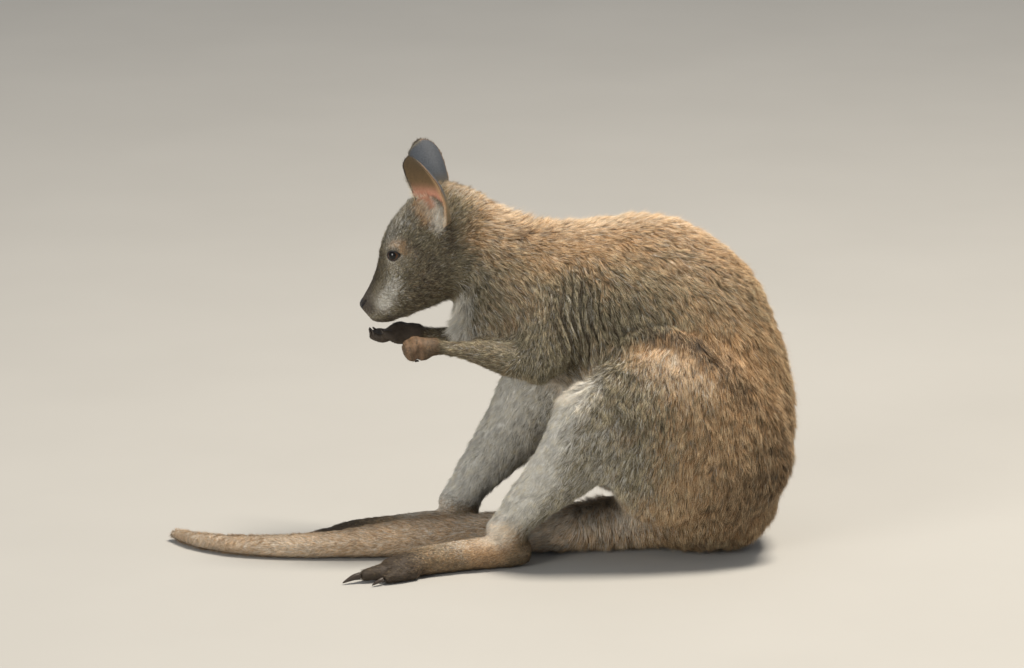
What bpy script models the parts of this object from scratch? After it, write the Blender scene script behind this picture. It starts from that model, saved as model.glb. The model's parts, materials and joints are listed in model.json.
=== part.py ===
"""A red-necked wallaby at life size, sitting on its rump with its tail brought forward between the legs.

The animal faces -Y, its left side is +X, and the floor it sits on is Z = 0.  Every outline is taken to the
tips of the coat.  Stations and sizes are in millimetres and become metres as the shapes are made.

The body is built from lofts: rings whose centres, depths and widths run smoothly from station to station.
Overlapping lofts are fused under one blended surface, and thin cuts then part that surface into the named
pieces of the animal.
"""

import math

import bmesh
import bpy
import numpy as np
from mathutils import Matrix, Vector

MM = 0.001
GAP = 0.3 * MM
LEFT = 1
RIGHT = -1
SIDES = ((LEFT, "left"), (RIGHT, "right"))
BEHIND = 1
FRONT = -1
BOX_SIZE = 1.4

# The whole animal.
GROUND_SLICE = 1.2
FAR_LEG_ADVANCE = -39.0
FAR_LEG_TUCK = 4.0
EYE_RADIUS = 8.8
EYE_CENTRE = (24.5, -99.5, 352.0)
NOSE_CENTRE = (0, -134.5, 289.5)
NOSE_RADII = (8.6, 8.5, 8.6)

# The head turns a little to the animal's right, about an upright line through the neck.
HEAD_TURN = math.radians(-10)
TURN_Y = -20.0
TURN_SPAN = 45.0

# Points this near become one, and neighbouring faces this near to a plane become one.  Edges sharper than
# the sharp angle stay crisp where the shading is smooth.
WELD = 0.03 * MM
FLAT_ANGLE = math.radians(1)
SHARP_ANGLE = math.radians(50)

# Faces given to each fused surface before it is parted.
HEAD_FACES = 1200
TORSO_FACES = 1300
HAND_FACES = 300
FOOT_FACES = 310

# Joints between the long pieces, as points of the side view (Y, Z).
NECK_CUT = ((4.0, 420.0), (-40.0, 290.0))
SHOULDER_CUT = ((62.0, 400.0), (-32.0, 236.0))
LOIN_CUT = ((205.0, 400.0), (76.0, 180.0))
SACRUM_CUT = ((345.0, 290.0), (100.0, 150.0))

# Outline of the trunk in side view: top Y, top Z, bottom Y, bottom Z, half width.
TRUNK = (
    (-22, 426, -40, 297, 37),
    (10, 408, -34, 282, 42),
    (45, 388, -34, 256, 52),
    (92, 386, -8, 228, 63),
    (140, 391, 26, 211, 70),
    (186, 393, 62, 199, 77),
    (226, 383, 98, 188, 86),
    (268, 358, 126, 160, 94),
    (306, 321, 144, 116, 100),
    (334, 262, 153, 70, 103),
    (350, 205, 163, 34, 102),
    (356, 155, 186, 8, 96),
    (352, 108, 222, -2, 84),
    (338, 66, 262, -1, 62),
)

# The head from nape to nose: top Y, top Z, bottom Y, bottom Z, half width, squareness, narrowing of the top.
HEAD = (
    (22, 402, -33, 276, 44, 2.0, 0.0),
    (-12, 420, -36, 296, 38, 2.0, 0.0),
    (-44, 431, -42, 297, 37, 2.1, 0.0),
    (-75, 420, -51, 292, 37, 2.3, 0.02),
    (-98, 398, -62, 286, 36, 2.4, 0.04),
    (-113, 376, -75, 281, 33, 2.5, 0.06),
    (-120, 352, -88, 275, 28, 2.4, 0.12),
    (-124, 332, -103, 271, 22, 2.3, 0.18),
    (-130, 314, -117, 268, 17, 2.2, 0.2),
    (-137, 301.5, -127, 270, 13, 2.1, 0.16),
    (-140, 295, -133, 277, 9.5, 2.0, 0.1),
)

# Mounds of the left side of the head: centre, radii, pitch. The chin lies in the middle.
CHEEK = ((18, -64, 336), (20, 34, 32), -20)
BROW = ((19, -95, 363), (12, 17, 11), 35)
LIP = ((8, -121, 282), (8, 13, 9), 30)
EAR_MOUND = ((20, -50, 397), (13, 18, 16), 0)
CHIN = ((0, -108, 274.5), (9, 14, 6), 14)

# The chest's ruff of fur between the arms, and the soft belly in the lap.
RUFF = ((0, -16, 262), (30, 26, 24))
BELLY = ((0, 120, 150), (66, 44, 70))

# The tail as it lies: X, Y, radius.
TAIL = (
    (0, 262, 42),
    (0, 205, 38),
    (1, 150, 34),
    (4, 95, 30.5),
    (6, 45, 27.5),
    (6, -8, 25.5),
    (6, -62, 24),
    (6, -112, 21.5),
    (5, -160, 18),
    (1, -205, 15.5),
    (-8, -250, 14),
    (-25, -291, 12.5),
    (-54, -326, 10.5),
    (-90, -351, 8),
)
TAIL_CUTS = (("tail_root", -40.0), ("tail_middle", -190.0))

# The left hind leg: X, Y, Z, half depth in side view, half width.
THIGH = (
    (62, 300, 96, 62, 44),
    (66, 268, 122, 96, 54),
    (70, 226, 150, 116, 57),
    (76, 180, 170, 108, 54),
    (84, 138, 180, 78, 46),
    (90, 108, 186, 44, 36),
)
SHANK = (
    (88, 120, 188, 50, 38),
    (88, 104, 152, 50, 36),
    (86, 84, 124, 43, 31),
    (79, 61, 98, 35.5, 26),
    (71, 38, 73, 29.5, 22),
    (65, 22, 51, 26, 20),
    (62, 12, 36, 24, 19),
)
FOOT = (
    (60, 41, 16, 14.5, 12),
    (62, 24, 18.5, 19, 17),
    (66, -2, 19, 19.5, 18.5),
    (72, -36, 18, 18.5, 18),
    (81, -70, 16.5, 17, 18.5),
    (91, -98, 14.5, 15, 20),
    (98, -118, 12, 12.5, 19),
)
FOURTH_TOE = ((97, -100, 11, 11, 11), (104, -128, 10.5, 10.5, 10), (110, -149, 8.5, 8, 7.5))
FIFTH_TOE = ((104, -88, 9, 9, 8), (114, -108, 8.5, 8.5, 7.5), (121, -124, 7, 6.5, 5.5))
TWIN_TOES = ((79, -74, 8, 7, 6), (84, -98, 7.5, 6.5, 6.5), (87, -117, 6.5, 5, 6))
ANKLE_CUT = ((-22, 70), (60, 30))
HEEL = (61.0, 30.0)
FAR_FOOT_TURN = math.radians(17)

# Claws of the left foot: name, root, tip, radius and droop.
TOE_CLAWS = (
    ("claw_fourth", (109, -147, 8.5), (116, -172, 2.4), 5.0, 2.2),
    ("claw_fifth", (120, -122, 7), (128, -140, 2.2), 3.6, 1.6),
    ("claw_second", (85, -115, 7), (86, -126, 3.4), 2.0, 1.0),
    ("claw_third", (89, -115, 7), (91, -126, 3.4), 2.0, 1.0),
)

# The left arm: X, Y, Z, half depth, half width.
UPPER_ARM = ((44, 86, 316, 36, 26), (52, 74, 280, 38, 28), (56, 62, 248, 34, 28), (56, 50, 230, 26, 25))
FOREARM_LEFT = (
    (56, 56, 228, 23, 23),
    (55, 26, 237, 21, 20),
    (53, -6, 246, 16.5, 16),
    (50, -34, 250, 11.5, 12),
    (47, -58, 253.5, 10.5, 10.5),
    (46, -70, 253.5, 11, 11),
)
FOREARM_RIGHT = (
    (-56, 56, 228, 23, 23),
    (-54, 26, 236, 21, 20),
    (-47, -6, 243, 16.5, 16),
    (-38, -40, 246.5, 11.5, 12),
    (-29, -70, 250, 10.5, 10.5),
    (-26, -84, 252, 11, 11),
)

WRIST_SETBACK = 2.0

# How far the cutters that part the limbs and the tail stand off them, and how far outwards they are moved.
SHANK_MARGIN = 9
THIGH_MARGIN = 12
THIGH_NARROWING = -6
KNEE_MARGIN = 24
THIGH_OUTWARDS = 24
ARM_MARGIN = 7
ARM_OUTWARDS = 14
TAIL_MARGIN = 7

# Each hand: the palm's centre and radii, and its fingers' knuckle, bend, tip and claw point.
PALMS = {LEFT: ((46.5, -75, 251.5), (13, 13, 14)), RIGHT: ((-26, -94, 252), (13.5, 15, 12.5))}
FINGER_RADIUS = 5.2
FINGERS = {
    LEFT: (
        ((57, -79, 259), (58, -90, 251), (55, -87, 241), (52, -80, 239)),
        ((52.5, -82, 262), (53, -94, 253), (51, -91, 242.5), (48, -83, 240)),
        ((47, -83, 263), (47, -95, 255), (45, -93, 244), (43, -85, 241)),
        ((41.5, -82, 262), (40, -94, 255), (39, -92, 245), (38, -84, 242)),
        ((37, -77, 257), (34, -87, 252), (34, -87, 244), (36, -81, 241)),
    ),
    RIGHT: (
        ((-36, -99, 253), (-37, -110, 249), (-36, -119, 252), (-34, -125, 259)),
        ((-31, -103, 254), (-31, -115, 248), (-30, -124, 251), (-28, -129, 260)),
        ((-25, -104, 254), (-25, -116, 247), (-24, -126, 250), (-23, -130, 260)),
        ((-19, -103, 254), (-18, -114, 248), (-17, -123, 251), (-17, -127, 260)),
        ((-15, -97, 255), (-11, -105, 252), (-10, -112, 255), (-11, -117, 261)),
    ),
}

# The ears: root of the left one, its lengthwise axes, the way it opens, and its stations from root to tip.
EAR_LENGTH = 84.0
EAR_THICKNESS = 2.8
EAR_BOW = 11.0
EAR_TIP_ROUND = 5.5
EAR_COLUMNS = 7
EAR_ROOT = (28.0, -49.0, 389.0)
EAR_AXIS = {LEFT: (0.20, -0.37, 0.91), RIGHT: (-0.20, -0.33, 0.92)}
EAR_FACING = {LEFT: (0.72, -0.69, 0.0), RIGHT: (-0.93, -0.37, 0.0)}
EAR_STATIONS = (
    (0.0, 30.0, 118.0),
    (0.25, 32.5, 88.0),
    (0.5, 31.5, 70.0),
    (0.75, 27.5, 56.0),
    (0.92, 20.0, 42.0),
    (1.0, 12.0, 30.0),
)

COLOURS = {
    "fur_back": (0.30, 0.19, 0.11),
    "fur_grey": (0.27, 0.25, 0.22),
    "fur_head": (0.20, 0.17, 0.14),
    "fur_dark": (0.05, 0.035, 0.028),
    "ear": (0.13, 0.11, 0.10),
    "nose": (0.02, 0.018, 0.018),
    "eye": (0.015, 0.010, 0.008),
    "claw": (0.03, 0.027, 0.025),
}
ROUGHNESS = {"nose": 0.45, "eye": 0.08, "claw": 0.4}


def clear_scene():
    for obj in list(bpy.data.objects):
        bpy.data.objects.remove(obj, do_unlink=True)


def material(name):
    made = bpy.data.materials.get(name)
    if made is None:
        made = bpy.data.materials.new(name)
        made.use_nodes = True
        shader = made.node_tree.nodes["Principled BSDF"]
        shader.inputs["Base Color"].default_value = (*COLOURS[name], 1.0)
        shader.inputs["Roughness"].default_value = ROUGHNESS.get(name, 0.9)
        shader.inputs["Metallic"].default_value = 0.0
    return made


def add_object(name, mesh):
    obj = bpy.data.objects.new(name, mesh)
    bpy.context.scene.collection.objects.link(obj)
    return obj


def remove(objects):
    for obj in objects:
        bpy.data.objects.remove(obj, do_unlink=True)


def bake(obj):
    """Replaces the object's mesh by what its modifiers make of it."""
    graph = bpy.context.evaluated_depsgraph_get()
    mesh = bpy.data.meshes.new_from_object(obj.evaluated_get(graph))
    obj.modifiers.clear()
    obj.data = mesh
    return obj


def spline(rows, steps):
    """A smooth curve through the rows, with this many steps between each two."""
    rows = np.asarray(rows, float)
    ends = np.vstack([2 * rows[0] - rows[1], rows, 2 * rows[-1] - rows[-2]])
    times = np.arange(steps)[:, None] / steps
    spans = []
    for a, b, c, d in zip(ends, ends[1:], ends[2:], ends[3:]):
        cubic = 2 * b + (c - a) * times + (2 * a - 5 * b + 4 * c - d) * times**2
        spans.append((cubic + (3 * b - a - 3 * c + d) * times**3) / 2)
    return np.vstack([*spans, rows[-1:]])


def frames_from_profile(rows):
    """Rings across the middle plane, from rows of top, bottom, half width, squareness and narrowing."""
    frames = []
    for top_y, top_z, low_y, low_z, width, square, narrow in rows:
        top = np.array([0.0, top_y, top_z])
        low = np.array([0.0, low_y, low_z])
        frames.append([*(top + low) / 2, *(top - low) / 2, width, 0.0, 0.0, square, narrow])
    return np.array(frames)


def frames_from_path(rows, square=2.0):
    """Rings across a limb, from rows of X, Y, Z, half depth and half width."""
    rows = np.asarray(rows, float)
    along = np.gradient(rows[:, :3], axis=0)
    frames = []
    for row, direction in zip(rows, along):
        direction = direction / np.linalg.norm(direction)
        depth = np.cross(direction, (1.0, 0.0, 0.0))
        depth /= np.linalg.norm(depth)
        width = np.cross(depth, direction)
        frames.append([*row[:3], *depth * row[3], *width * row[4], square, 0.0])
    return np.array(frames)


def rounded(frames, steps, start, end):
    """The frames along the curve, with a round end of each given length, or a flat one where it is 0."""
    curve = spline(frames, steps)
    for length, at_start in ((start, True), (end, False)):
        if not length:
            continue
        last, before = (curve[0], curve[1]) if at_start else (curve[-1], curve[-2])
        out = last[:3] - before[:3]
        out /= np.linalg.norm(out)
        caps = []
        for angle in np.radians((30, 55, 75, 87)):
            cap = last.copy()
            cap[:3] += out * length * math.sin(angle)
            cap[3:9] *= math.cos(angle)
            caps.append(cap)
        curve = np.vstack([caps[::-1], curve] if at_start else [curve, caps])
    return curve


def loft(frames, sides=24, steps=4, start=0.0, end=0.0):
    """A closed tube through the frames: centre, depth vector, width vector, squareness, narrowing."""
    angles = np.arange(sides) * 2 * math.pi / sides
    shape = bmesh.new()
    rings = []
    for frame in rounded(frames, steps, start, end):
        centre, depth, width = frame[:3], frame[3:6], frame[6:9]
        square, narrow = frame[9:]
        reach = (abs(np.cos(angles)) ** square + abs(np.sin(angles)) ** square) ** (-1 / square)
        high = reach * np.sin(angles)
        wide = reach * np.cos(angles) * (1 - narrow * high)
        points = centre + wide[:, None] * width + high[:, None] * depth
        rings.append([shape.verts.new(Vector(point) * MM) for point in points])
    for ring, following in zip(rings, rings[1:]):
        for side in range(sides):
            after = (side + 1) % sides
            shape.faces.new((ring[side], ring[after], following[after], following[side]))
    shape.faces.new(reversed(rings[0]))
    shape.faces.new(rings[-1])
    return finish_shape(shape)


def finish_shape(shape):
    bmesh.ops.recalc_face_normals(shape, faces=shape.faces)
    mesh = bpy.data.meshes.new("shape")
    shape.to_mesh(mesh)
    shape.free()
    return add_object("shape", mesh)


def limb(rows, **settings):
    return loft(frames_from_path(rows), **settings)


def blob(centre, radii, pitch=0.0, detail=3):
    """An ellipsoid, its -Y end turned down by the pitch in degrees."""
    shape = bmesh.new()
    bmesh.ops.create_icosphere(shape, subdivisions=detail, radius=MM)
    turn = Matrix.Rotation(math.radians(pitch), 4, "X")
    place = Matrix.Translation(Vector(centre) * MM) @ turn @ Matrix.Diagonal((*radii, 1.0))
    bmesh.ops.transform(shape, matrix=place, verts=shape.verts)
    return finish_shape(shape)


def both_sides(centre, radii, pitch):
    """The same blob on the left and on the right."""
    return [blob((side * centre[0], *centre[1:]), radii, pitch) for side, _ in SIDES]


def far_side(rows, advance=(1.0, 1.0), tuck=(0.0, 0.0)):
    """A left leg's rows as the right leg, which reaches further forward and stands closer in."""
    share = np.linspace(0.0, 1.0, len(rows))
    forward = FAR_LEG_ADVANCE * np.interp(share, (0, 1), advance)
    inward = FAR_LEG_TUCK * np.interp(share, (0, 1), tuck)
    return [(close - row[0], row[1] + ahead, *row[2:]) for row, ahead, close in zip(rows, forward, inward)]


def leg_rows(side):
    """Thigh and shank of one side."""
    if side == LEFT:
        return THIGH, SHANK
    return far_side(THIGH, advance=(0.3, 1.0)), far_side(SHANK, advance=(1.0, 1.12), tuck=(0.0, 1.0))


def foot_rows(rows, side):
    """Rows of the left foot, or of the right one, which points straighter ahead."""
    if side == LEFT:
        return rows
    turned = []
    for x, y, *rest in rows:
        out, ahead = x - HEEL[0], y - HEEL[1]
        turned_x = HEEL[0] + out * math.cos(FAR_FOOT_TURN) + ahead * math.sin(FAR_FOOT_TURN)
        turned_y = HEEL[1] - out * math.sin(FAR_FOOT_TURN) + ahead * math.cos(FAR_FOOT_TURN)
        turned.append((turned_x, turned_y, *rest))
    return far_side(turned, advance=(1.12, 1.12), tuck=(1.0, 1.0))


def arm_rows(side):
    """Upper arm and forearm of one side."""
    if side == LEFT:
        return UPPER_ARM, FOREARM_LEFT
    return [(-row[0], *row[1:]) for row in UPPER_ARM], FOREARM_RIGHT


def widened(rows, depth, start, end, outwards=0.0):
    """Rows of a cutter round a limb, wider by start to end, moved away from the middle plane if asked."""
    side = math.copysign(outwards, rows[0][0])
    extra = np.linspace(start, end, len(rows))
    return [(row[0] + side, row[1], row[2], row[3] + depth, row[4] + wide) for row, wide in zip(rows, extra)]


def join(shapes, name):
    """One object that holds all the shapes, which are used up."""
    whole = bmesh.new()
    for shape in shapes:
        whole.from_mesh(shape.data)
    mesh = bpy.data.meshes.new(name)
    whole.to_mesh(mesh)
    whole.free()
    remove(shapes)
    return add_object(name, mesh)


def fuse(name, shapes, voxel, blend, faces):
    """One blended surface round all the shapes, thinned to about this many triangles."""
    obj = join(shapes, name)
    remesh = obj.modifiers.new("Fuse", "REMESH")
    remesh.mode = "VOXEL"
    remesh.voxel_size = voxel * MM
    smooth = obj.modifiers.new("Blend", "SMOOTH")
    smooth.factor = 0.5
    smooth.iterations = blend
    bake(obj)
    thin = obj.modifiers.new("Thin", "DECIMATE")
    thin.ratio = faces / (2 * len(obj.data.polygons))
    thin.use_collapse_triangulate = True
    return bake(obj)


def boolean(obj, cutter, operation):
    cut = obj.modifiers.new("Cut", "BOOLEAN")
    cut.operation = operation
    cut.object = cutter
    return bake(obj)


def grown(obj, amount):
    """A copy whose surface stands out by this amount."""
    copy = add_object("grown", obj.data.copy())
    shape = bmesh.new()
    shape.from_mesh(copy.data)
    shape.normal_update()
    for vert in shape.verts:
        vert.co += vert.normal * amount * vert.calc_shell_factor()
    shape.to_mesh(copy.data)
    shape.free()
    return copy


def largest_part(obj):
    """Drops all but the largest connected part of the mesh."""
    shape = bmesh.new()
    shape.from_mesh(obj.data)
    left = set(shape.verts)
    parts = []
    while left:
        found = {left.pop()}
        edge = list(found)
        while edge:
            near = {link.other_vert(vert) for vert in edge for link in vert.link_edges}
            edge = list(near & left)
            left -= near
            found |= near
        parts.append(found)
    keep = max(parts, key=len)
    bmesh.ops.delete(shape, geom=[vert for vert in shape.verts if vert not in keep], context="VERTS")
    shape.to_mesh(obj.data)
    shape.free()
    return obj


def half_space(high, low, side):
    """A big box with one face on the plane through two points of the side view: BEHIND it or in FRONT."""
    high = Vector((0.0, *high)) * MM
    low = Vector((0.0, *low)) * MM
    up = (high - low).normalized()
    back = Vector((0.0, up.z, -up.y))
    shape = bmesh.new()
    bmesh.ops.create_cube(shape, size=BOX_SIZE)
    turn = Matrix((Vector((1.0, 0.0, 0.0)), back, up)).transposed().to_4x4()
    centre = (high + low) / 2 + back * side * (BOX_SIZE / 2 + GAP / 2)
    bmesh.ops.transform(shape, matrix=Matrix.Translation(centre) @ turn, verts=shape.verts)
    return finish_shape(shape)


def keep_side(obj, high, low, side):
    """Keeps what lies in FRONT of the plane through two points of the side view, or BEHIND it."""
    box = half_space(high, low, side)
    boolean(obj, box, "INTERSECT")
    remove([box])
    return largest_part(obj)


def cut_off(obj, high, low):
    """Parts what lies in front of the plane from the object and returns it as a new piece."""
    piece = add_object("piece", obj.data.copy())
    keep_side(piece, high, low, FRONT)
    keep_side(obj, high, low, BEHIND)
    return piece


def take(obj, cutter):
    """Parts what lies inside the cutter from the object and returns it as a new piece."""
    wider = grown(cutter, GAP)
    piece = add_object("piece", obj.data.copy())
    boolean(piece, cutter, "INTERSECT")
    boolean(obj, wider, "DIFFERENCE")
    remove([wider, cutter])
    return largest_part(piece)


def carve(obj, other):
    """Cuts the object back to clear another piece by the gap."""
    wider = grown(other, GAP)
    boolean(obj, wider, "DIFFERENCE")
    remove([wider])
    return largest_part(obj)


def on_floor(obj):
    """Cuts the object off level with the floor, which gives it its small flats."""
    shape = bmesh.new()
    bmesh.ops.create_cube(shape, size=BOX_SIZE)
    bmesh.ops.translate(shape, verts=shape.verts, vec=(0.0, 0.0, BOX_SIZE / 2))
    above = finish_shape(shape)
    boolean(obj, above, "INTERSECT")
    remove([above])
    return largest_part(obj)


def merge_flat_faces(obj):
    """Makes one face of neighbours that lie almost in a plane, then triangles again."""
    shape = bmesh.new()
    shape.from_mesh(obj.data)
    bmesh.ops.remove_doubles(shape, verts=shape.verts, dist=WELD)
    bmesh.ops.dissolve_degenerate(shape, edges=shape.edges, dist=WELD)
    bmesh.ops.dissolve_limit(shape, angle_limit=FLAT_ANGLE, verts=shape.verts, edges=shape.edges)
    bmesh.ops.triangulate(shape, faces=shape.faces)
    shape.to_mesh(obj.data)
    shape.free()


def finished(obj, name, finish):
    merge_flat_faces(obj)
    obj.name = name
    obj.data.name = name
    obj.data.materials.clear()
    obj.data.materials.append(material(finish))
    obj.data.shade_smooth()
    obj.data.set_sharp_from_angle(angle=SHARP_ANGLE)
    return obj


def turn_head(obj):
    """Turns the mesh about the neck's upright line, fully in front of the ears and not at all at the nape."""
    for vert in obj.data.vertices:
        share = min(max((TURN_Y * MM - vert.co.y) / (TURN_SPAN * MM), 0.0), 1.0)
        angle = HEAD_TURN * share * share * (3 - 2 * share)
        ahead = vert.co.y - TURN_Y * MM
        x = vert.co.x * math.cos(angle) - ahead * math.sin(angle)
        vert.co.y = TURN_Y * MM + vert.co.x * math.sin(angle) + ahead * math.cos(angle)
        vert.co.x = x
    return obj


def make_head():
    shapes = [loft(frames_from_profile(HEAD), start=20, end=4.5), blob(*CHIN)]
    for mound in (CHEEK, BROW, LIP, EAR_MOUND):
        shapes += both_sides(*mound)
    return fuse("head", shapes, voxel=2.0, blend=6, faces=HEAD_FACES)


def make_torso():
    trunk = frames_from_profile([(*row, 2.0, 0.0) for row in TRUNK])
    tail = frames_from_path([(x, y, radius - GROUND_SLICE, radius, radius) for x, y, radius in TAIL])
    shapes = [loft(trunk, sides=32, start=12, end=22), loft(tail, start=10, end=6)]
    for side in (LEFT, RIGHT):
        thigh, shank = leg_rows(side)
        upper, fore = arm_rows(side)
        shapes.append(limb(thigh, start=34, end=26))
        shapes.append(limb(shank, start=24))
        shapes.append(limb(upper, start=20, end=16))
        shapes.append(limb(fore, start=14))
    shapes += [blob(*RUFF), blob(*BELLY)]
    return fuse("torso", shapes, voxel=3.0, blend=8, faces=TORSO_FACES)


def eye(side):
    x, y, z = EYE_CENTRE
    shape = bmesh.new()
    bmesh.ops.create_uvsphere(shape, u_segments=12, v_segments=7, radius=EYE_RADIUS * MM)
    bmesh.ops.rotate(shape, verts=shape.verts, matrix=Matrix.Rotation(math.radians(90), 3, "Y"))
    bmesh.ops.translate(shape, verts=shape.verts, vec=Vector((side * x, y, z)) * MM)
    return finish_shape(shape)


def ear_ring(shape, centre, facing, across, lift, radius, spread, wall):
    """One arc of the ear's outer or inner face, thinning to the rim."""
    ring = []
    for share in np.linspace(-1.0, 1.0, EAR_COLUMNS):
        reach = radius - wall * (1 - 0.7 * abs(share) ** 3)
        angle = spread * share
        point = centre - facing * (math.cos(angle) * reach) + across * (math.sin(angle) * reach)
        ring.append(shape.verts.new((point + lift * (1 - share**2)) * MM))
    return ring


def ear(side):
    """A scoop: rolled into a tube at its root, opening forwards and outwards above, with a round tip."""
    axis = Vector(EAR_AXIS[side]).normalized()
    facing = Vector(EAR_FACING[side])
    facing = (facing - facing.dot(axis) * axis).normalized()
    across = axis.cross(facing)
    root = Vector((EAR_ROOT[0] * side, *EAR_ROOT[1:]))
    shape = bmesh.new()
    outer, inner = [], []
    for up, half_arc, opening in spline(EAR_STATIONS, 2):
        spread = math.radians(opening)
        radius = half_arc / spread
        bow = -EAR_BOW * math.sin(up * math.pi)
        centre = root + axis * EAR_LENGTH * up + facing * (bow + radius * math.cos(spread / 2))
        lift = axis * EAR_TIP_ROUND * up**6
        outer.append(ear_ring(shape, centre, facing, across, lift, radius, spread, 0.0))
        inner.append(ear_ring(shape, centre, facing, across, lift, radius, spread, EAR_THICKNESS))
    # Round each wall from the outer face over one rim, down the inner face and over the other rim.
    loops = [low + high[::-1] for low, high in zip(outer, inner)]
    for low, high in zip(loops, loops[1:]):
        for corner in range(len(low)):
            after = (corner + 1) % len(low)
            shape.faces.new((low[corner], low[after], high[after], high[corner]))
    for ends in (loops[0], loops[-1]):
        for corner in range(EAR_COLUMNS - 1):
            shape.faces.new((ends[corner], ends[corner + 1], ends[-2 - corner], ends[-1 - corner]))
    return finish_shape(shape)


def claw(root, tip, radius, droop=0.0):
    """A curved claw from its root to its tip, arched upwards by the droop."""
    root, tip = np.array(root, float), np.array(tip, float)
    middle = (root + tip) / 2 + np.array((0.0, 0.0, droop))
    rows = [(*root, radius, radius * 0.8), (*middle, radius * 0.75, radius * 0.6), (*tip, 0.5, 0.45)]
    return limb(rows, sides=6, steps=2 if droop > 1 else 1)


def make_hand(side):
    shapes = [limb(arm_rows(side)[1][2:], end=6), blob(*PALMS[side])]
    for knuckle, bend, tip, _ in FINGERS[side]:
        sizes = (FINGER_RADIUS, FINGER_RADIUS * 0.96, FINGER_RADIUS * 0.8)
        joints = [(*point, size, size) for point, size in zip((knuckle, bend, tip), sizes)]
        shapes.append(limb(joints, sides=12, start=4, end=3.4))
    return fuse("hand", shapes, voxel=1.5, blend=3, faces=HAND_FACES)


def make_foot(side):
    shapes = [limb(leg_rows(side)[1][2:], end=6)]
    for rows, start, end in ((FOOT, 7, 8), (FOURTH_TOE, 5, 5), (FIFTH_TOE, 4, 4), (TWIN_TOES, 4, 3)):
        shapes.append(limb(foot_rows(rows, side), start=start, end=end))
    return fuse("foot", shapes, voxel=2.0, blend=4, faces=FOOT_FACES)


def part_head():
    head = turn_head(make_head())
    keep_side(head, *NECK_CUT, FRONT)
    nose = turn_head(blob(NOSE_CENTRE, NOSE_RADII, pitch=-20, detail=2))
    carve(head, nose)
    pieces = {"nose": (nose, "nose")}
    for side, word in SIDES:
        ball = turn_head(eye(side))
        carve(head, ball)
        pieces[f"eye_{word}"] = (ball, "eye")
    for side, word in SIDES:
        pieces[f"ear_{word}"] = (carve(turn_head(ear(side)), head), "ear")
    pieces["head"] = (head, "fur_head")
    return pieces


def part_leg(torso, side, word):
    """Takes the shank and thigh off the torso and fits the foot at the ankle."""
    thigh_rows, shank_rows = leg_rows(side)
    shift = 0.0 if side == LEFT else FAR_LEG_ADVANCE
    ankle = [(y + shift, z) for y, z in ANKLE_CUT]
    shank = take(torso, limb(widened(shank_rows, *[SHANK_MARGIN] * 3), end=12, sides=12, steps=1))
    keep_side(shank, *ankle, BEHIND)
    foot = on_floor(keep_side(make_foot(side), *ankle, FRONT))
    around = widened(thigh_rows, THIGH_MARGIN, THIGH_NARROWING, KNEE_MARGIN, outwards=THIGH_OUTWARDS)
    thigh = take(torso, loft(frames_from_path(around, square=3.0), start=30, end=40, sides=12, steps=1))
    return {
        f"shank_{word}": (shank, "fur_grey"),
        f"foot_{word}": (foot, "fur_dark"),
        f"thigh_{word}": (thigh, "fur_back"),
    }


def part_arm(torso, side, word):
    """Takes the forearm and upper arm off the torso and fits the hand at the wrist."""
    upper_rows, fore_rows = arm_rows(side)
    forearm = take(torso, limb(widened(fore_rows[1:], *[ARM_MARGIN] * 3), end=6, sides=12, steps=1))
    wrist = fore_rows[-2][1] + WRIST_SETBACK
    plane = ((wrist, 1.0), (wrist, 0.0))
    keep_side(forearm, *plane, BEHIND)
    hand = keep_side(make_hand(side), *plane, FRONT)
    around = widened(upper_rows, ARM_MARGIN, 0, 0, outwards=ARM_OUTWARDS)
    upper = take(torso, limb(around, start=20, end=16, sides=12, steps=1))
    return {
        f"forearm_{word}": (forearm, "fur_grey"),
        f"hand_{word}": (hand, "fur_dark"),
        f"upper_arm_{word}": (upper, "fur_back"),
    }


def part_claws(pieces, side, word):
    foot = pieces[f"foot_{word}"][0]
    for name, root, tip, radius, droop in TOE_CLAWS:
        root, tip = foot_rows((root, tip), side)
        pieces[f"{name}_{word}"] = (carve(claw(root, tip, radius, droop), foot), "claw")
    hand = pieces[f"hand_{word}"][0]
    for number, (_, _, tip, point) in enumerate(FINGERS[side], start=1):
        pieces[f"claw_finger_{number}_{word}"] = (carve(claw(tip, point, 2.3), hand), "claw")


def part_tail(torso):
    """Takes the free length of the tail off the torso and divides it."""
    around = [(x, y, radius, *[radius + TAIL_MARGIN] * 2) for x, y, radius in TAIL[3:]]
    rest = take(torso, limb(around, end=8, sides=12, steps=1))
    pieces = {}
    for name, place in TAIL_CUTS:
        tip = cut_off(rest, (place, 1.0), (place, 0.0))
        pieces[name] = (on_floor(rest), "fur_grey")
        rest = tip
    pieces["tail_tip"] = (on_floor(rest), "fur_grey")
    return pieces


def part_trunk(torso):
    neck = cut_off(torso, *SHOULDER_CUT)
    keep_side(neck, *NECK_CUT, BEHIND)
    chest = cut_off(torso, *LOIN_CUT)
    loin = cut_off(torso, *SACRUM_CUT)
    return {
        "neck": (neck, "fur_head"),
        "chest": (chest, "fur_back"),
        "loin": (loin, "fur_back"),
        "rump": (on_floor(torso), "fur_back"),
    }


def main():
    clear_scene()
    pieces = part_head()
    torso = make_torso()
    for side, word in SIDES:
        pieces.update(part_arm(torso, side, word))
        pieces.update(part_leg(torso, side, word))
        part_claws(pieces, side, word)
    pieces.update(part_tail(torso))
    pieces.update(part_trunk(torso))
    for name, (obj, finish) in pieces.items():
        finished(obj, name, finish)


main()
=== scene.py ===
import json
import math

import bpy
import numpy as np
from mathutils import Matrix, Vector
from mathutils.bvhtree import BVHTree
from mathutils.kdtree import KDTree

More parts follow.
